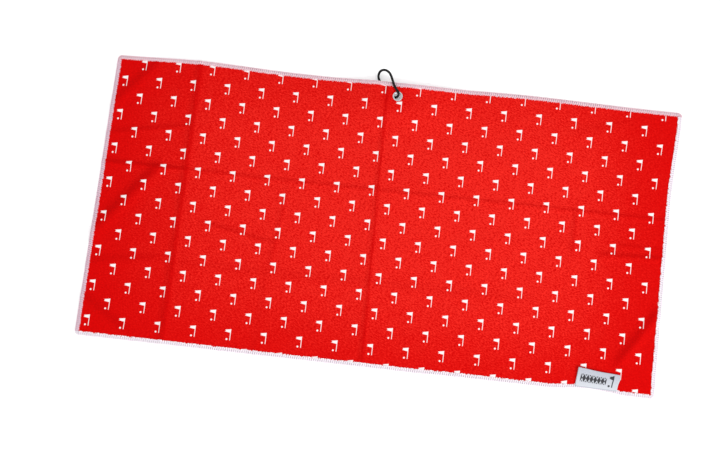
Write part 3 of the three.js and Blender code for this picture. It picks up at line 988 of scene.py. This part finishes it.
# ---------------------------------------------------------------- the overlocked hem
class HemSideShade(Enum):
    """The thread's colour on each side: painted shade makes the top and left runs darker and pinker than
    the bottom and right runs.
    """

    TOP = WoollyThread("woolly_thread_top", (0.88, 0.62, 0.68), (0.76, 0.46, 0.53))
    BOTTOM = WoollyThread("woolly_thread_bottom", (0.96, 0.90, 0.95), (0.88, 0.77, 0.85))
    LEFT = WoollyThread("woolly_thread_left", (0.82, 0.58, 0.67), (0.70, 0.43, 0.52))
    RIGHT = WoollyThread("woolly_thread_right", (0.96, 0.90, 0.95), (0.88, 0.77, 0.85))


class Side(Enum):
    """The four sides of the towel. The long runs take the corners with them."""

    TOP = "top"
    BOTTOM = "bottom"
    LEFT = "left"
    RIGHT = "right"


@dataclass
class Overlock:
    """One run of overlock stitches that wraps the edge of the cloth. Millimetres."""

    lie: ClothLie
    side: Side
    pitch: float = 2.9
    reach: float = 5.9
    thread_wide: float = 1.62
    thread_tall: float = 0.62
    top: float = 1.78
    bottom: float = 0.3
    wrap: float = 0.95
    lean: float = 2.1
    needle_in: float = 4.9
    sides: int = 6
    jitter: float = 0.16
    tail: float = 6.5
    tail_thread: float = 0.24
    tail_place: float = 0.996
    loose: dict[Side, float] = field(
        default_factory=lambda: {Side.TOP: 0.2, Side.LEFT: 0.2, Side.BOTTOM: 0.75, Side.RIGHT: 0.75}
    )

    def run(self) -> float:
        """Length of the run along its outer edge."""
        size = self.lie.size
        if self.side in (Side.TOP, Side.BOTTOM):
            return size.length - 2 * size.corner + math.pi * size.corner
        return size.width - 2 * size.corner

    def edge(self, distance: float) -> tuple[Vector, Vector]:
        """The outer edge of the flat cloth.

        Args:
            distance: how far along the run.
        Returns:
            The point and the outward normal there.
        """
        size = self.lie.size
        half_x, half_y, radius = size.length / 2, size.width / 2, size.corner
        turn = 1 if self.side in (Side.TOP, Side.LEFT) else -1
        if self.side in (Side.LEFT, Side.RIGHT):
            return Vector((-half_x, distance - half_y + radius)) * turn, Vector((-turn, 0))
        bend = math.pi / 2 * radius
        straight = size.length - 2 * radius
        if bend <= distance <= bend + straight:
            return Vector((distance - bend - half_x + radius, half_y)) * turn, Vector((0, turn))
        if distance < bend:
            angle, centre = math.pi - distance / radius, Vector((-half_x + radius, half_y - radius))
        else:
            angle = math.pi / 2 - (distance - bend - straight) / radius
            centre = Vector((half_x - radius, half_y - radius))
        normal = Vector((math.cos(angle), math.sin(angle)))
        return (centre + normal * radius) * turn, normal * turn

    def looper(self, lean: float, start: float, top: float, reach: float) -> list[Matrix]:
        """Stations of one looper thread: out over the face, round the edge and back underneath.

        Args:
            lean: how far it travels along the hem on its way out.
            start: where along the hem it begins.
            top: height of its middle over the face.
            reach: how far in from the edge it begins.
        Returns:
            The stations, x along the hem, y inwards from the edge and z up.
        """
        radius = (top - self.bottom) / 2
        middle = self.bottom + radius
        path = [(0.0, reach, top - 0.3, 90), (0.3, mix(reach, self.wrap, 0.3), top + 0.06, 90)]
        path += [(0.7, mix(reach, self.wrap, 0.75), top + 0.06, 90)]
        for angle in (45, 0, -60):
            a = math.radians(angle)
            path.append((0.95 + 0.04 * (45 - angle) / 45, self.wrap - radius * 0.75 * math.cos(a),
                         middle + radius * math.sin(a), angle))
        path.append((1.7, reach - 1.0, self.bottom, -90))
        points = [Vector((start + lean * s, y, z)) for s, y, z, _ in path]
        stations = []
        for index, (point, item) in enumerate(zip(points, path)):
            ahead = points[min(index + 1, len(points) - 1)] - points[max(index - 1, 0)]
            tilt = math.radians(item[3])
            up = Vector((0, -math.cos(tilt), math.sin(tilt)))
            slim = 0.62 if index in (0, len(points) - 1) else 1.0
            stations.append(frame_at(point, ahead, up, self.thread_wide / 2 * slim, self.thread_tall / 2))
        return stations

    def stitch(self) -> bpy.types.Mesh:
        """One stitch: two looper threads that lean against each other, and the needle thread."""
        shape = bmesh.new()
        sweep(shape, self.looper(self.lean, 0.0, self.top, self.reach), self.sides)
        second = self.looper(-self.lean * 0.55, self.pitch * 0.62, self.top - 0.12, self.reach - 0.8)
        sweep(shape, second, self.sides)
        size = self.thread_tall / 2
        along, up = Vector((1, 0, 0)), Vector((0, 0, 1))
        needle = []
        for t, rise, share in ((0.08, -0.1, 0.5), (0.3, 0.22, 1.0), (0.62, 0.22, 1.0), (0.86, -0.1, 0.5)):
            point = Vector((self.pitch * t, self.needle_in, self.top + rise))
            needle.append(frame_at(point, along, up, size * share, size * share))
        sweep(shape, needle, 5)
        bmesh.ops.recalc_face_normals(shape, faces=shape.faces)
        mesh = bpy.data.meshes.new("stitch")
        shape.to_mesh(mesh)
        shape.free()
        return mesh

    def loose_loop(self) -> bpy.types.Mesh:
        """One short loop of loose thread, a millimetre wide and deep, on the hem's inner side."""
        shape = bmesh.new()
        arch = [(step / 4, math.sin(math.pi * step / 4)) for step in range(5)]
        points = [Vector((t, self.reach - 0.7 + rise, self.top + 0.35 * rise)) for t, rise in arch]
        stations = []
        for index, point in enumerate(points):
            ahead = points[min(index + 1, 4)] - points[max(index - 1, 0)]
            stations.append(frame_at(point, ahead, Vector((0, 0, 1)), 0.3, 0.22))
        sweep(shape, stations, 5)
        mesh = bpy.data.meshes.new("loose_loop")
        shape.to_mesh(mesh)
        shape.free()
        return mesh

    def sew(
        self, shape: bmesh.types.BMesh, template: bpy.types.Mesh, start: float, stretch: Triple
    ) -> None:
        """Adds one copy of a template, bent along the hem.

        Args:
            shape: the run's mesh in the row frame.
            template: x along the hem, y inwards from the edge and z up, in millimetres.
            start: where along the run its x = 0 lies.
            stretch: how much longer, deeper and taller the copy is.
        """
        done = len(shape.verts)
        shape.from_mesh(template)
        shape.verts.ensure_lookup_table()
        for vert in shape.verts[done:]:
            local = vert.co * Vector(stretch)
            distance = clamp01((start + local.x) / self.run()) * self.run()
            edge, normal = self.edge(distance)
            point = edge - normal * local.y
            vert.co = self.lie.place(point.x, point.y, local.z)

    def thread_tail(self, shape: bmesh.types.BMesh) -> None:
        """Adds the cut chain of thread that is left where the sewing ended.

        Args:
            shape: the run's mesh in the row frame.
        """
        edge, normal = self.edge(self.run() * self.tail_place)
        along = Vector((-normal.y, normal.x))
        for turn in (-0.35, 0.1, 0.5):
            points = []
            for step in range(7):
                t = step / 6
                out = edge + normal * (self.tail * t) + along * (turn * self.tail * t * t)
                lift = self.top * (1 - t) + 0.35 + 0.5 * math.sin(math.pi * t)
                points.append(self.lie.place(out.x, out.y, lift))
            stations = []
            size = self.tail_thread * MM
            for index, point in enumerate(points):
                ahead = points[min(index + 1, 6)] - points[max(index - 1, 0)]
                stations.append(frame_at(point, ahead, Vector((0, 0, 1)), size, size))
            sweep(shape, stations, self.sides)

    def build(self, material: bpy.types.Material) -> bpy.types.Object:
        """Sews the run.

        Args:
            material: the thread's finish.
        Returns:
            The piece.
        """
        rng = random.Random(f"overlock {self.side.value}")
        stitch, loop = self.stitch(), self.loose_loop()
        shape = bmesh.new()
        count = round(self.run() / self.pitch)
        step = self.run() / count
        for index in range(count):
            start = index * step + rng.uniform(-self.jitter, self.jitter)
            deeper, taller = 1 + rng.uniform(-0.05, 0.06), 1 + rng.uniform(-0.04, 0.05)
            stretch = (step / self.pitch, deeper, taller)
            self.sew(shape, stitch, start, stretch)
        for _ in range(round(self.run() * self.loose[self.side])):
            stretch = (rng.uniform(0.8, 1.7), rng.uniform(0.93, 1.05), 1.0)
            self.sew(shape, loop, rng.uniform(0, self.run() - 3), stretch)
        bpy.data.meshes.remove(stitch)
        bpy.data.meshes.remove(loop)
        if self.side is Side.RIGHT:
            self.thread_tail(shape)
        bmesh.ops.recalc_face_normals(shape, faces=shape.faces)
        name, node = f"overlock_thread_{self.side.value}", f"overlock_{self.side.value}"
        return finished(name, shape, (material,), "hem_thread", "towel", node)


# ---------------------------------------------------------------- the grommet
@dataclass
class Grommet:
    """A bright eyelet with its barrel rolled over a back ring. Millimetres."""

    lie: ClothLie
    bore: float = 9.6
    wall: float = 0.4
    outer: float = 14.0
    face: float = 0.42
    crown: float = 1.22
    curl: float = 1.1
    lip: float = 0.62
    rim: float = 0.34
    washer_low: float = -1.18
    washer_rim: float = 0.24
    steps: int = 96

    def eyelet(self, material: bpy.types.Material) -> bpy.types.Object:
        """The front flange, the barrel and its rolled end, as one turned piece."""
        inner, outside = self.bore / 2, self.outer / 2
        barrel = inner + self.wall
        lip, edge = self.lip, self.rim
        top, low = self.crown, self.face
        roll = (self.curl + self.wall) / 2
        profile = [(inner, -top + roll)]
        profile += arc((inner + roll, -top + roll), roll, 180, 360, 12)[1:]
        profile += [(inner + 2 * roll - 0.28, -top + roll + 0.1), (barrel, -low - 0.02), (barrel, low)]
        profile += [(outside - edge * 0.4, low)]
        profile += arc((outside - edge, low + edge), edge, -45, 80, 6)
        crest = (inner + outside) / 2
        for t in (0.35, 0.7, 1):
            rise = 1 - math.sin(math.pi / 2 * t)
            profile.append((mix(outside - edge, crest, t), top - 0.1 * rise))
        profile += arc((inner + lip, top - lip), lip, 90, 180, 8)
        shape = turned_ring(profile, self.lie.hole * MM, self.steps)
        return finished("grommet_front", shape, (material,), "grommet_metal", "towel", "grommet_eyelet")

    def washer(self, material: bpy.types.Material) -> bpy.types.Object:
        """The ring on the back that the barrel is rolled against."""
        inner = self.bore / 2 + self.wall + self.curl + 0.3
        outside = self.outer / 2
        edge = self.washer_rim
        low, high = self.washer_low, -self.face
        profile = [(inner, high), (inner, low + 0.1), (inner + 0.1, low)]
        profile += arc((outside - edge, low + edge), edge, -90, 0, 5)
        profile += [(outside, high)]
        shape = turned_ring(profile, self.lie.hole * MM, self.steps)
        return finished("grommet_back_ring", shape, (material,), "grommet_metal", "towel", "grommet_washer")


# ---------------------------------------------------------------- the clip
@dataclass
class Clip:
    """A pear-shaped spring-gate clip of round rod, drawn flat and then tilted. Millimetres."""

    lie: ClothLie
    rod: float = 3.4
    arch: float = 11.0
    small: float = 6.2
    between: float = 26.0
    yaw: float = 38.5
    roll: float = 43.0
    pitch: float = 6.0
    entry: float = 12.0
    flank: float = 10.0
    sides: int = 28
    root: float = 1.2
    round_off: float = 0.25
    tenon: Pair = (1.4, 3.0)
    tongue: Triple = (0.9, 2.3, 3.3)
    gate_diameter: float = 4.0
    end_gap: float = 0.35
    nose_slot: Pair = (1.5, 3.9)
    ear_slot: Pair = (2.0, 4.6)
    rivet: float = 1.2
    rivet_from_end: float = 2.1
    pin: float = 1.0
    pin_from_tip: float = 1.7
    bore: Pair = (2.4, 11.0)
    bore_from_rivet: float = 1.8
    hole_play: float = 0.06
    end_soft: float = 0.22
    corner_drop: float = 0.07
    edge_bevel: float = 0.12

    def __post_init__(self) -> None:
        """Works out where the clip hangs and where its gate runs."""
        turn = (
            Matrix.Rotation(math.radians(self.yaw), 4, "Z")
            @ Matrix.Rotation(math.radians(self.pitch), 4, "X")
            @ Matrix.Rotation(math.radians(-self.roll), 4, "Y")
        )
        entry = math.radians(self.entry)
        through = Vector((math.sin(entry), -math.cos(entry), 0)) * self.small
        offset = self.lie.hole - turn @ through
        self.stand = Matrix.Scale(MM, 4) @ Matrix.Translation(offset) @ turn
        self.slant = math.asin((self.arch - self.small) / self.between)
        low = self._on(0, self.small, -math.pi + self.slant)
        high = self._on(self.between, self.arch, math.pi + self.slant)
        self.span = (high - low).length
        lean = math.atan2(-(high.x - low.x), high.y - low.y)
        self.gate_frame = self.stand @ Matrix.Translation(low) @ Matrix.Rotation(lean, 4, "Z")

    @staticmethod
    def _on(centre: float, radius: float, angle: float) -> Vector:
        """A point on one of the clip's two arcs."""
        return Vector((radius * math.cos(angle), centre + radius * math.sin(angle), 0))

    def centreline(self) -> list[tuple[Vector, Vector]]:
        """Points and directions along the bent rod, from the hinge round the spine to the nose."""
        flank = math.radians(self.flank)
        hook = self._bend(0.0, self.small, -math.pi + self.slant, flank, 40)
        arch = self._bend(self.between, self.arch, -flank, math.pi + self.slant, 56)
        return [*hook, *self._spine(hook[-1], arch[0], 16), *arch]

    @staticmethod
    def _bend(
        centre: float, radius: float, start: float, end: float, steps: int
    ) -> list[tuple[Vector, Vector]]:
        """Points and directions along one of the clip's two arcs, angles in radians."""
        points = []
        for step in range(steps + 1):
            angle = mix(start, end, step / steps)
            way = Vector((-math.sin(angle), math.cos(angle), 0))
            points.append((Clip._on(centre, radius, angle), way))
        return points

    @staticmethod
    def _spine(
        near: tuple[Vector, Vector], far: tuple[Vector, Vector], steps: int
    ) -> list[tuple[Vector, Vector]]:
        """Points and directions inside the cubic that joins two ends, each a point and a direction."""
        reach = (far[0] - near[0]).length / 3
        knots = (near[0], near[0] + near[1] * reach, far[0] - far[1] * reach, far[0])
        points = []
        for step in range(1, steps):
            t = step / steps
            spot = sum((w * k for w, k in zip(Clip._weights(t), knots)), Vector())
            ahead = sum((w * k for w, k in zip(Clip._weights(t + 0.01), knots)), Vector())
            points.append((spot, (ahead - spot).normalized()))
        return points

    @staticmethod
    def _weights(t: float) -> tuple[float, float, float, float]:
        """The shares of a cubic's four control points."""
        u = 1 - t
        return u * u * u, 3 * u * u * t, 3 * u * t * t, t * t * t

    def body(self, material: bpy.types.Material) -> bpy.types.Object:
        """The bent rod with its flat tenon at the hinge and its tongue at the nose."""
        shape = bmesh.new()
        line = self.centreline()
        up = Vector((0, 0, 1))
        radius = self.rod / 2
        stations = [frame_at(point, way, up, radius, radius) for point, way in line[1:-1]]
        off, drop = self.round_off, self.corner_drop
        (first, out), (last, home) = line[0], line[-1]
        rounding = ((0.0, radius - off), (off * 0.4, radius - drop), (off, radius))
        head = [frame_at(first + out * inside, out, up, size, size) for inside, size in rounding]
        foot = [frame_at(last - home * inside, home, up, size, size) for inside, size in rounding]
        sweep(shape, [*head, *stations, *reversed(foot)], self.sides)
        bmesh.ops.transform(shape, matrix=self.stand, verts=shape.verts)
        thick, width = self.tenon
        self._plate(shape, thick, width, -self.root, self.rivet_from_end + width / 2)
        thick, width, length = self.tongue
        self._plate(shape, thick, width, self.span - length, self.span + self.root)
        bmesh.ops.recalc_face_normals(shape, faces=shape.faces)
        piece = finished("clip_rod", shape, (material,), "clip_black", "clip", "clip_body")
        sharpened(piece, 50)
        return piece

    def _plate(
        self, shape: bmesh.types.BMesh, thick: float, width: float, low: float, high: float
    ) -> None:
        """Adds a flat end with rounded corners, in the gate's frame.

        Args:
            shape: the mesh it is added to.
            thick: its thickness.
            width: its width.
            low: its lower end along the gate.
            high: its upper end along the gate.
        """
        place = self.gate_frame @ Matrix.Translation((0, (low + high) / 2, 0))
        size = Matrix.Diagonal((width, high - low, thick, 1))
        made = bmesh.ops.create_cube(shape, size=1.0, matrix=place @ size)["verts"]
        way = (self.gate_frame.to_3x3() @ Vector((0, 0, 1))).normalized()
        edges = {edge for vert in made for edge in vert.link_edges}
        upright = [e for e in edges if abs((e.verts[0].co - e.verts[1].co).normalized().dot(way)) > 0.9]
        bmesh.ops.bevel(
            shape, geom=upright, offset=width * 0.3 * MM, offset_type="OFFSET", affect="EDGES",
            segments=5, profile=0.5, material=-1,
        )

    def gate(self, material: bpy.types.Material) -> bpy.types.Object:
        """The straight gate, slotted at its nose and forked at its hinge."""
        low, high = self.end_gap, self.span - self.end_gap
        radius = self.gate_diameter / 2
        shape = bmesh.new()
        up = Vector((0, 0, 1))
        way = Vector((0, 1, 0))
        soft, drop = self.end_soft, self.corner_drop
        rings = ((low, radius - soft), (low + 0.35 * soft, radius - drop), (low + soft, radius),
                 (high - soft, radius), (high - 0.35 * soft, radius - drop), (high, radius - soft))
        sweep(shape, [frame_at(way * y, way, up, r, r) for y, r in rings], 40)
        bmesh.ops.recalc_face_normals(shape, faces=shape.faces)
        piece = finished("clip_gate_rod", shape, (material,), "clip_black", "gate", "clip_gate")
        across = 2 * self.gate_diameter
        wide, deep = self.bore
        play = self.hole_play
        spring_middle = self.rivet_from_end + self.bore_from_rivet + deep / 2
        cutters = [
            self._cutter_box((0, high, 0), (across, 2 * self.nose_slot[1], self.nose_slot[0])),
            self._cutter_box((0, low, 0), (across, 2 * self.ear_slot[1], self.ear_slot[0])),
            self._cutter_rod((0, self.rivet_from_end, 0), self.rivet / 2 + play, across, 0),
            self._cutter_rod((0, self.span - self.pin_from_tip, 0), self.pin / 2 + play, across, 0),
            self._cutter_rod((0, spring_middle, 0), wide / 2, deep, 90),
        ]
        for cutter in cutters:
            cut = piece.modifiers.new("cut", "BOOLEAN")
            cut.operation = "DIFFERENCE"
            cut.object = cutter
            cut.solver = "EXACT"
        bevel = piece.modifiers.new("edges", "BEVEL")
        bevel.width = self.edge_bevel
        bevel.segments = 2
        bevel.limit_method = "ANGLE"
        bevel.angle_limit = math.radians(50)
        self._apply(piece)
        for cutter in cutters:
            bpy.data.objects.remove(cutter)
        piece.data.transform(self.gate_frame)
        for polygon in piece.data.polygons:
            polygon.use_smooth = True
        sharpened(piece, 35)
        return piece

    @staticmethod
    def _apply(piece: bpy.types.Object) -> None:
        """Makes the result of a piece's modifiers its own mesh."""
        depsgraph = bpy.context.evaluated_depsgraph_get()
        result = bpy.data.meshes.new_from_object(piece.evaluated_get(depsgraph))
        piece.modifiers.clear()
        piece.data = result

    @staticmethod
    def _cutter_box(centre: Triple, size: Triple) -> bpy.types.Object:
        """A box that cuts a slot, in the gate's own frame."""
        shape = bmesh.new()
        matrix = Matrix.Translation(centre) @ Matrix.Diagonal((*size, 1))
        bmesh.ops.create_cube(shape, size=1.0, matrix=matrix)
        return Clip._cutter(shape)

    @staticmethod
    def _cutter_rod(centre: Triple, radius: float, length: float, tip: float) -> bpy.types.Object:
        """A rod that cuts a hole, tipped over by this many degrees."""
        shape = bmesh.new()
        matrix = Matrix.Translation(centre) @ Matrix.Rotation(math.radians(tip), 4, "X")
        bmesh.ops.create_cone(
            shape, cap_ends=True, segments=32, radius1=radius, radius2=radius, depth=length, matrix=matrix
        )
        return Clip._cutter(shape)

    @staticmethod
    def _cutter(shape: bmesh.types.BMesh) -> bpy.types.Object:
        """An unseen object made of a bmesh."""
        mesh = bpy.data.meshes.new("cutter")
        shape.to_mesh(mesh)
        shape.free()
        cutter = bpy.data.objects.new("cutter", mesh)
        bpy.context.scene.collection.objects.link(cutter)
        cutter.hide_render = True
        return cutter

    def cross_pin(
        self, name: str, node: str, diameter: float, y: float, material: bpy.types.Material
    ) -> None:
        """A steel pin through the gate, with softly domed ends.

        Args:
            name: the piece's name.
            node: the CAD node it stands for.
            diameter: its diameter.
            y: its place along the gate.
            material: its finish.
        """
        shape = bmesh.new()
        half = self.gate_diameter / 2 - 0.1
        radius = diameter / 2
        rings = ((-half, 0.45), (-half + 0.08, 0.82), (-half + 0.22, 1.0),
                 (half - 0.22, 1.0), (half - 0.08, 0.82), (half, 0.45))
        way, side = Vector((0, 0, 1)), Vector((1, 0, 0))
        stations = [frame_at(Vector((0, y, z)), way, side, radius * r, radius * r) for z, r in rings]
        sweep(shape, stations, 24)
        bmesh.ops.transform(shape, matrix=self.gate_frame, verts=shape.verts)
        bmesh.ops.recalc_face_normals(shape, faces=shape.faces)
        finished(name, shape, (material,), "pin_steel", "gate", node)

    def build(self) -> None:
        """Makes the clip's body, its gate and the two pins, and finishes the hidden spring and plunger."""
        black = Steelwork.BLACK.value.material()
        steel = Steelwork.PIN.value.material()
        self.body(black)
        self.gate(black)
        self.cross_pin("gate_hinge_rivet", "gate_rivet", self.rivet, self.rivet_from_end, steel)
        self.cross_pin("gate_catch_pin", "gate_latch_pin", self.pin, self.span - self.pin_from_tip, steel)
        spring = Steelwork.SPRING.value.material()
        for node in ("gate_spring", "gate_plunger"):
            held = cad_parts[node]
            held.data.materials.clear()
            held.data.materials.append(spring)
            LOG.info("%s: CAD node with its own finish", node)


# ---------------------------------------------------------------- the label
@dataclass(frozen=True)
class LabelSize:
    """Sizes of the folded tape in millimetres."""

    width: float = 60.0
    height: float = 24.0
    thickness: float = 0.42
    fold: float = 0.62


@dataclass
class SideLabel:
    """A woven tape folded in half and sewn into the hem by its two ends."""

    FLAT = "flat_label"

    lie: ClothLie
    size: LabelSize = field(default_factory=LabelSize)
    columns: int = 48
    rows: int = 40
    left_lift: float = 2.3
    right_lift: float = 1.0
    bow: float = 0.7
    kink: float = 1.0
    seam_left: Vector = field(default_factory=lambda: Vector((-2.0, -0.3)))
    seam_right: Vector = field(default_factory=lambda: Vector((-5.2, -1.3)))
    fold_left: Vector = field(default_factory=lambda: Vector((0.8, 1.9)))
    fold_right: Vector = field(default_factory=lambda: Vector((-2.2, -3.1)))

    def build(self, material: bpy.types.Material) -> bpy.types.Object:
        """Makes the label.

        Args:
            material: the tape's finish.
        Returns:
            The piece.
        """
        size = self.size
        low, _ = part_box("side_label")
        shape = bmesh.new()
        middle = Matrix.Translation((size.width / 2, size.height, 0))
        tape = middle @ Matrix.Diagonal((size.width, 2 * size.height, 1, 1))
        bmesh.ops.create_grid(
            shape, x_segments=self.columns, y_segments=2 * self.rows, size=0.5, matrix=tape
        )
        layer = shape.loops.layers.uv.new(self.FLAT)
        for face in shape.faces:
            for loop in face.loops:
                loop[layer].uv = (loop.vert.co.x * MM, loop.vert.co.y * MM)
        start = low / MM
        for vert in shape.verts:
            vert.co = self.folded(vert.co.x, vert.co.y, start) * MM
        bmesh.ops.recalc_face_normals(shape, faces=shape.faces)
        bmesh.ops.solidify(shape, geom=list(shape.faces), thickness=size.thickness * MM)
        bmesh.ops.recalc_face_normals(shape, faces=shape.faces)
        return finished("woven_label", shape, (material,), "label_weave", "label", "side_label")

    def folded(self, along: float, up: float, start: Vector) -> Vector:
        """Where a point of the flat tape lies when it is folded over.

        Args:
            along: place across the tape's width.
            up: place along the tape, from the front end over the fold to the back end.
            start: the seam end of the tape's lower layer.
        Returns:
            The point in millimetres.
        """
        size = self.size
        radius = size.fold / 2
        flat = size.height - radius * math.pi / 2
        if up < flat:
            out, level = up, size.fold
        elif up > 2 * size.height - flat:
            out, level = 2 * size.height - up, 0.0
        else:
            angle = (up - flat) / radius
            out, level = flat + radius * math.sin(angle), radius + radius * math.cos(angle)
        t = clamp01(out / size.height)
        u = along / size.width
        lifted = mix(self.left_lift, self.right_lift, smooth(u)) * t ** 1.6
        billow = 0.5 * bell(2 * u - 1) * bell(2 * t - 0.9)
        kinked = self.kink * (u ** 6) * bell((t - 0.68) / 0.34)
        pinch = 1 - 0.35 * (1 - smooth(t / 0.22))
        z = start.z + size.thickness / 2 + level * pinch + lifted + billow
        seam = self.seam_left.lerp(self.seam_right, u)
        fold = self.fold_left.lerp(self.fold_right, u)
        shift = seam.lerp(fold, t)
        dip = self.bow * (bell(2 * u - 1) - 0.5) * t
        return Vector((start.x + along + kinked + shift.x, start.y + out + shift.y - dip, z))


# ---------------------------------------------------------------- studio
@dataclass
class Studio:
    """Floor, camera and lights."""

    camera_at: Triple = (0.09144, -0.38517, 2.18468)
    camera_turn: Triple = (9.96, 1.97, 6.63)
    lens: float = 80.0
    sensor: float = 36.0
    floor_size: float = 9.0
    floor_gap: float = 0.25
    ambient: float = 1.0
    key_at: Triple = (2.6, -2.1, 2.0)
    key_size: float = 1.1
    key_power: float = 92.0

    def camera(self) -> None:
        """Puts the camera above the towel."""
        data = bpy.data.cameras.new("camera")
        data.lens, data.sensor_width = self.lens, self.sensor
        data.clip_end = 50
        camera = bpy.data.objects.new("camera", data)
        camera.location = self.camera_at
        camera.rotation_euler = Euler([math.radians(angle) for angle in self.camera_turn], "XYZ")
        bpy.context.scene.collection.objects.link(camera)
        bpy.context.scene.camera = camera

    def floor(self) -> None:
        """Lays the floor just under the cloth."""
        shape = bmesh.new()
        bmesh.ops.create_grid(shape, x_segments=2, y_segments=2, size=self.floor_size / 2,
                              matrix=Matrix.Translation((0, 0, -self.floor_gap * MM)))
        mesh = bpy.data.meshes.new("floor")
        shape.to_mesh(mesh)
        shape.free()
        mesh.materials.append(PaleFloor().material())
        floor = bpy.data.objects.new("floor", mesh)
        bpy.context.scene.collection.objects.link(floor)

    def lamp(self) -> None:
        """Adds a soft square lamp that looks at the towel."""
        data = bpy.data.lights.new("key", "AREA")
        data.size, data.energy = self.key_size, self.key_power
        lamp = bpy.data.objects.new("key", data)
        lamp.location = self.key_at
        lamp.rotation_euler = (-Vector(self.key_at)).to_track_quat("-Z", "Y").to_euler()
        bpy.context.scene.collection.objects.link(lamp)

    def build(self) -> None:
        """Sets up the whole studio."""
        self.camera()
        self.floor()
        self.lamp()
        world = bpy.data.worlds.new("studio")
        world.use_nodes = True
        background = world.node_tree.nodes["Background"]
        background.inputs["Color"].default_value = (1, 1, 1, 1)
        background.inputs["Strength"].default_value = self.ambient
        bpy.context.scene.world = world
        bpy.context.scene.view_settings.view_transform = "Standard"


# ---------------------------------------------------------------- all together
def main() -> None:
    """Builds every piece in order."""
    logging.basicConfig(level=logging.INFO, format="%(name)s: %(message)s")
    Studio().build()
    lie = ClothLie()
    cloth = Cloth(lie).build(PrintedMicrofibre().material(lie.size), PlainMicrofibre().material())
    hems = [Overlock(lie, side).build(HemSideShade[side.name].value.material()) for side in Side]
    nickel = Steelwork.NICKEL.value.material()
    grommet = Grommet(lie)
    rings = [grommet.eyelet(nickel), grommet.washer(nickel)]
    Clip(lie).build()
    label_size = LabelSize()
    label = SideLabel(lie, label_size).build(LabelWeave().material(label_size))
    2 * label_size.height * MM


if __name__ == "__main__":
    main()
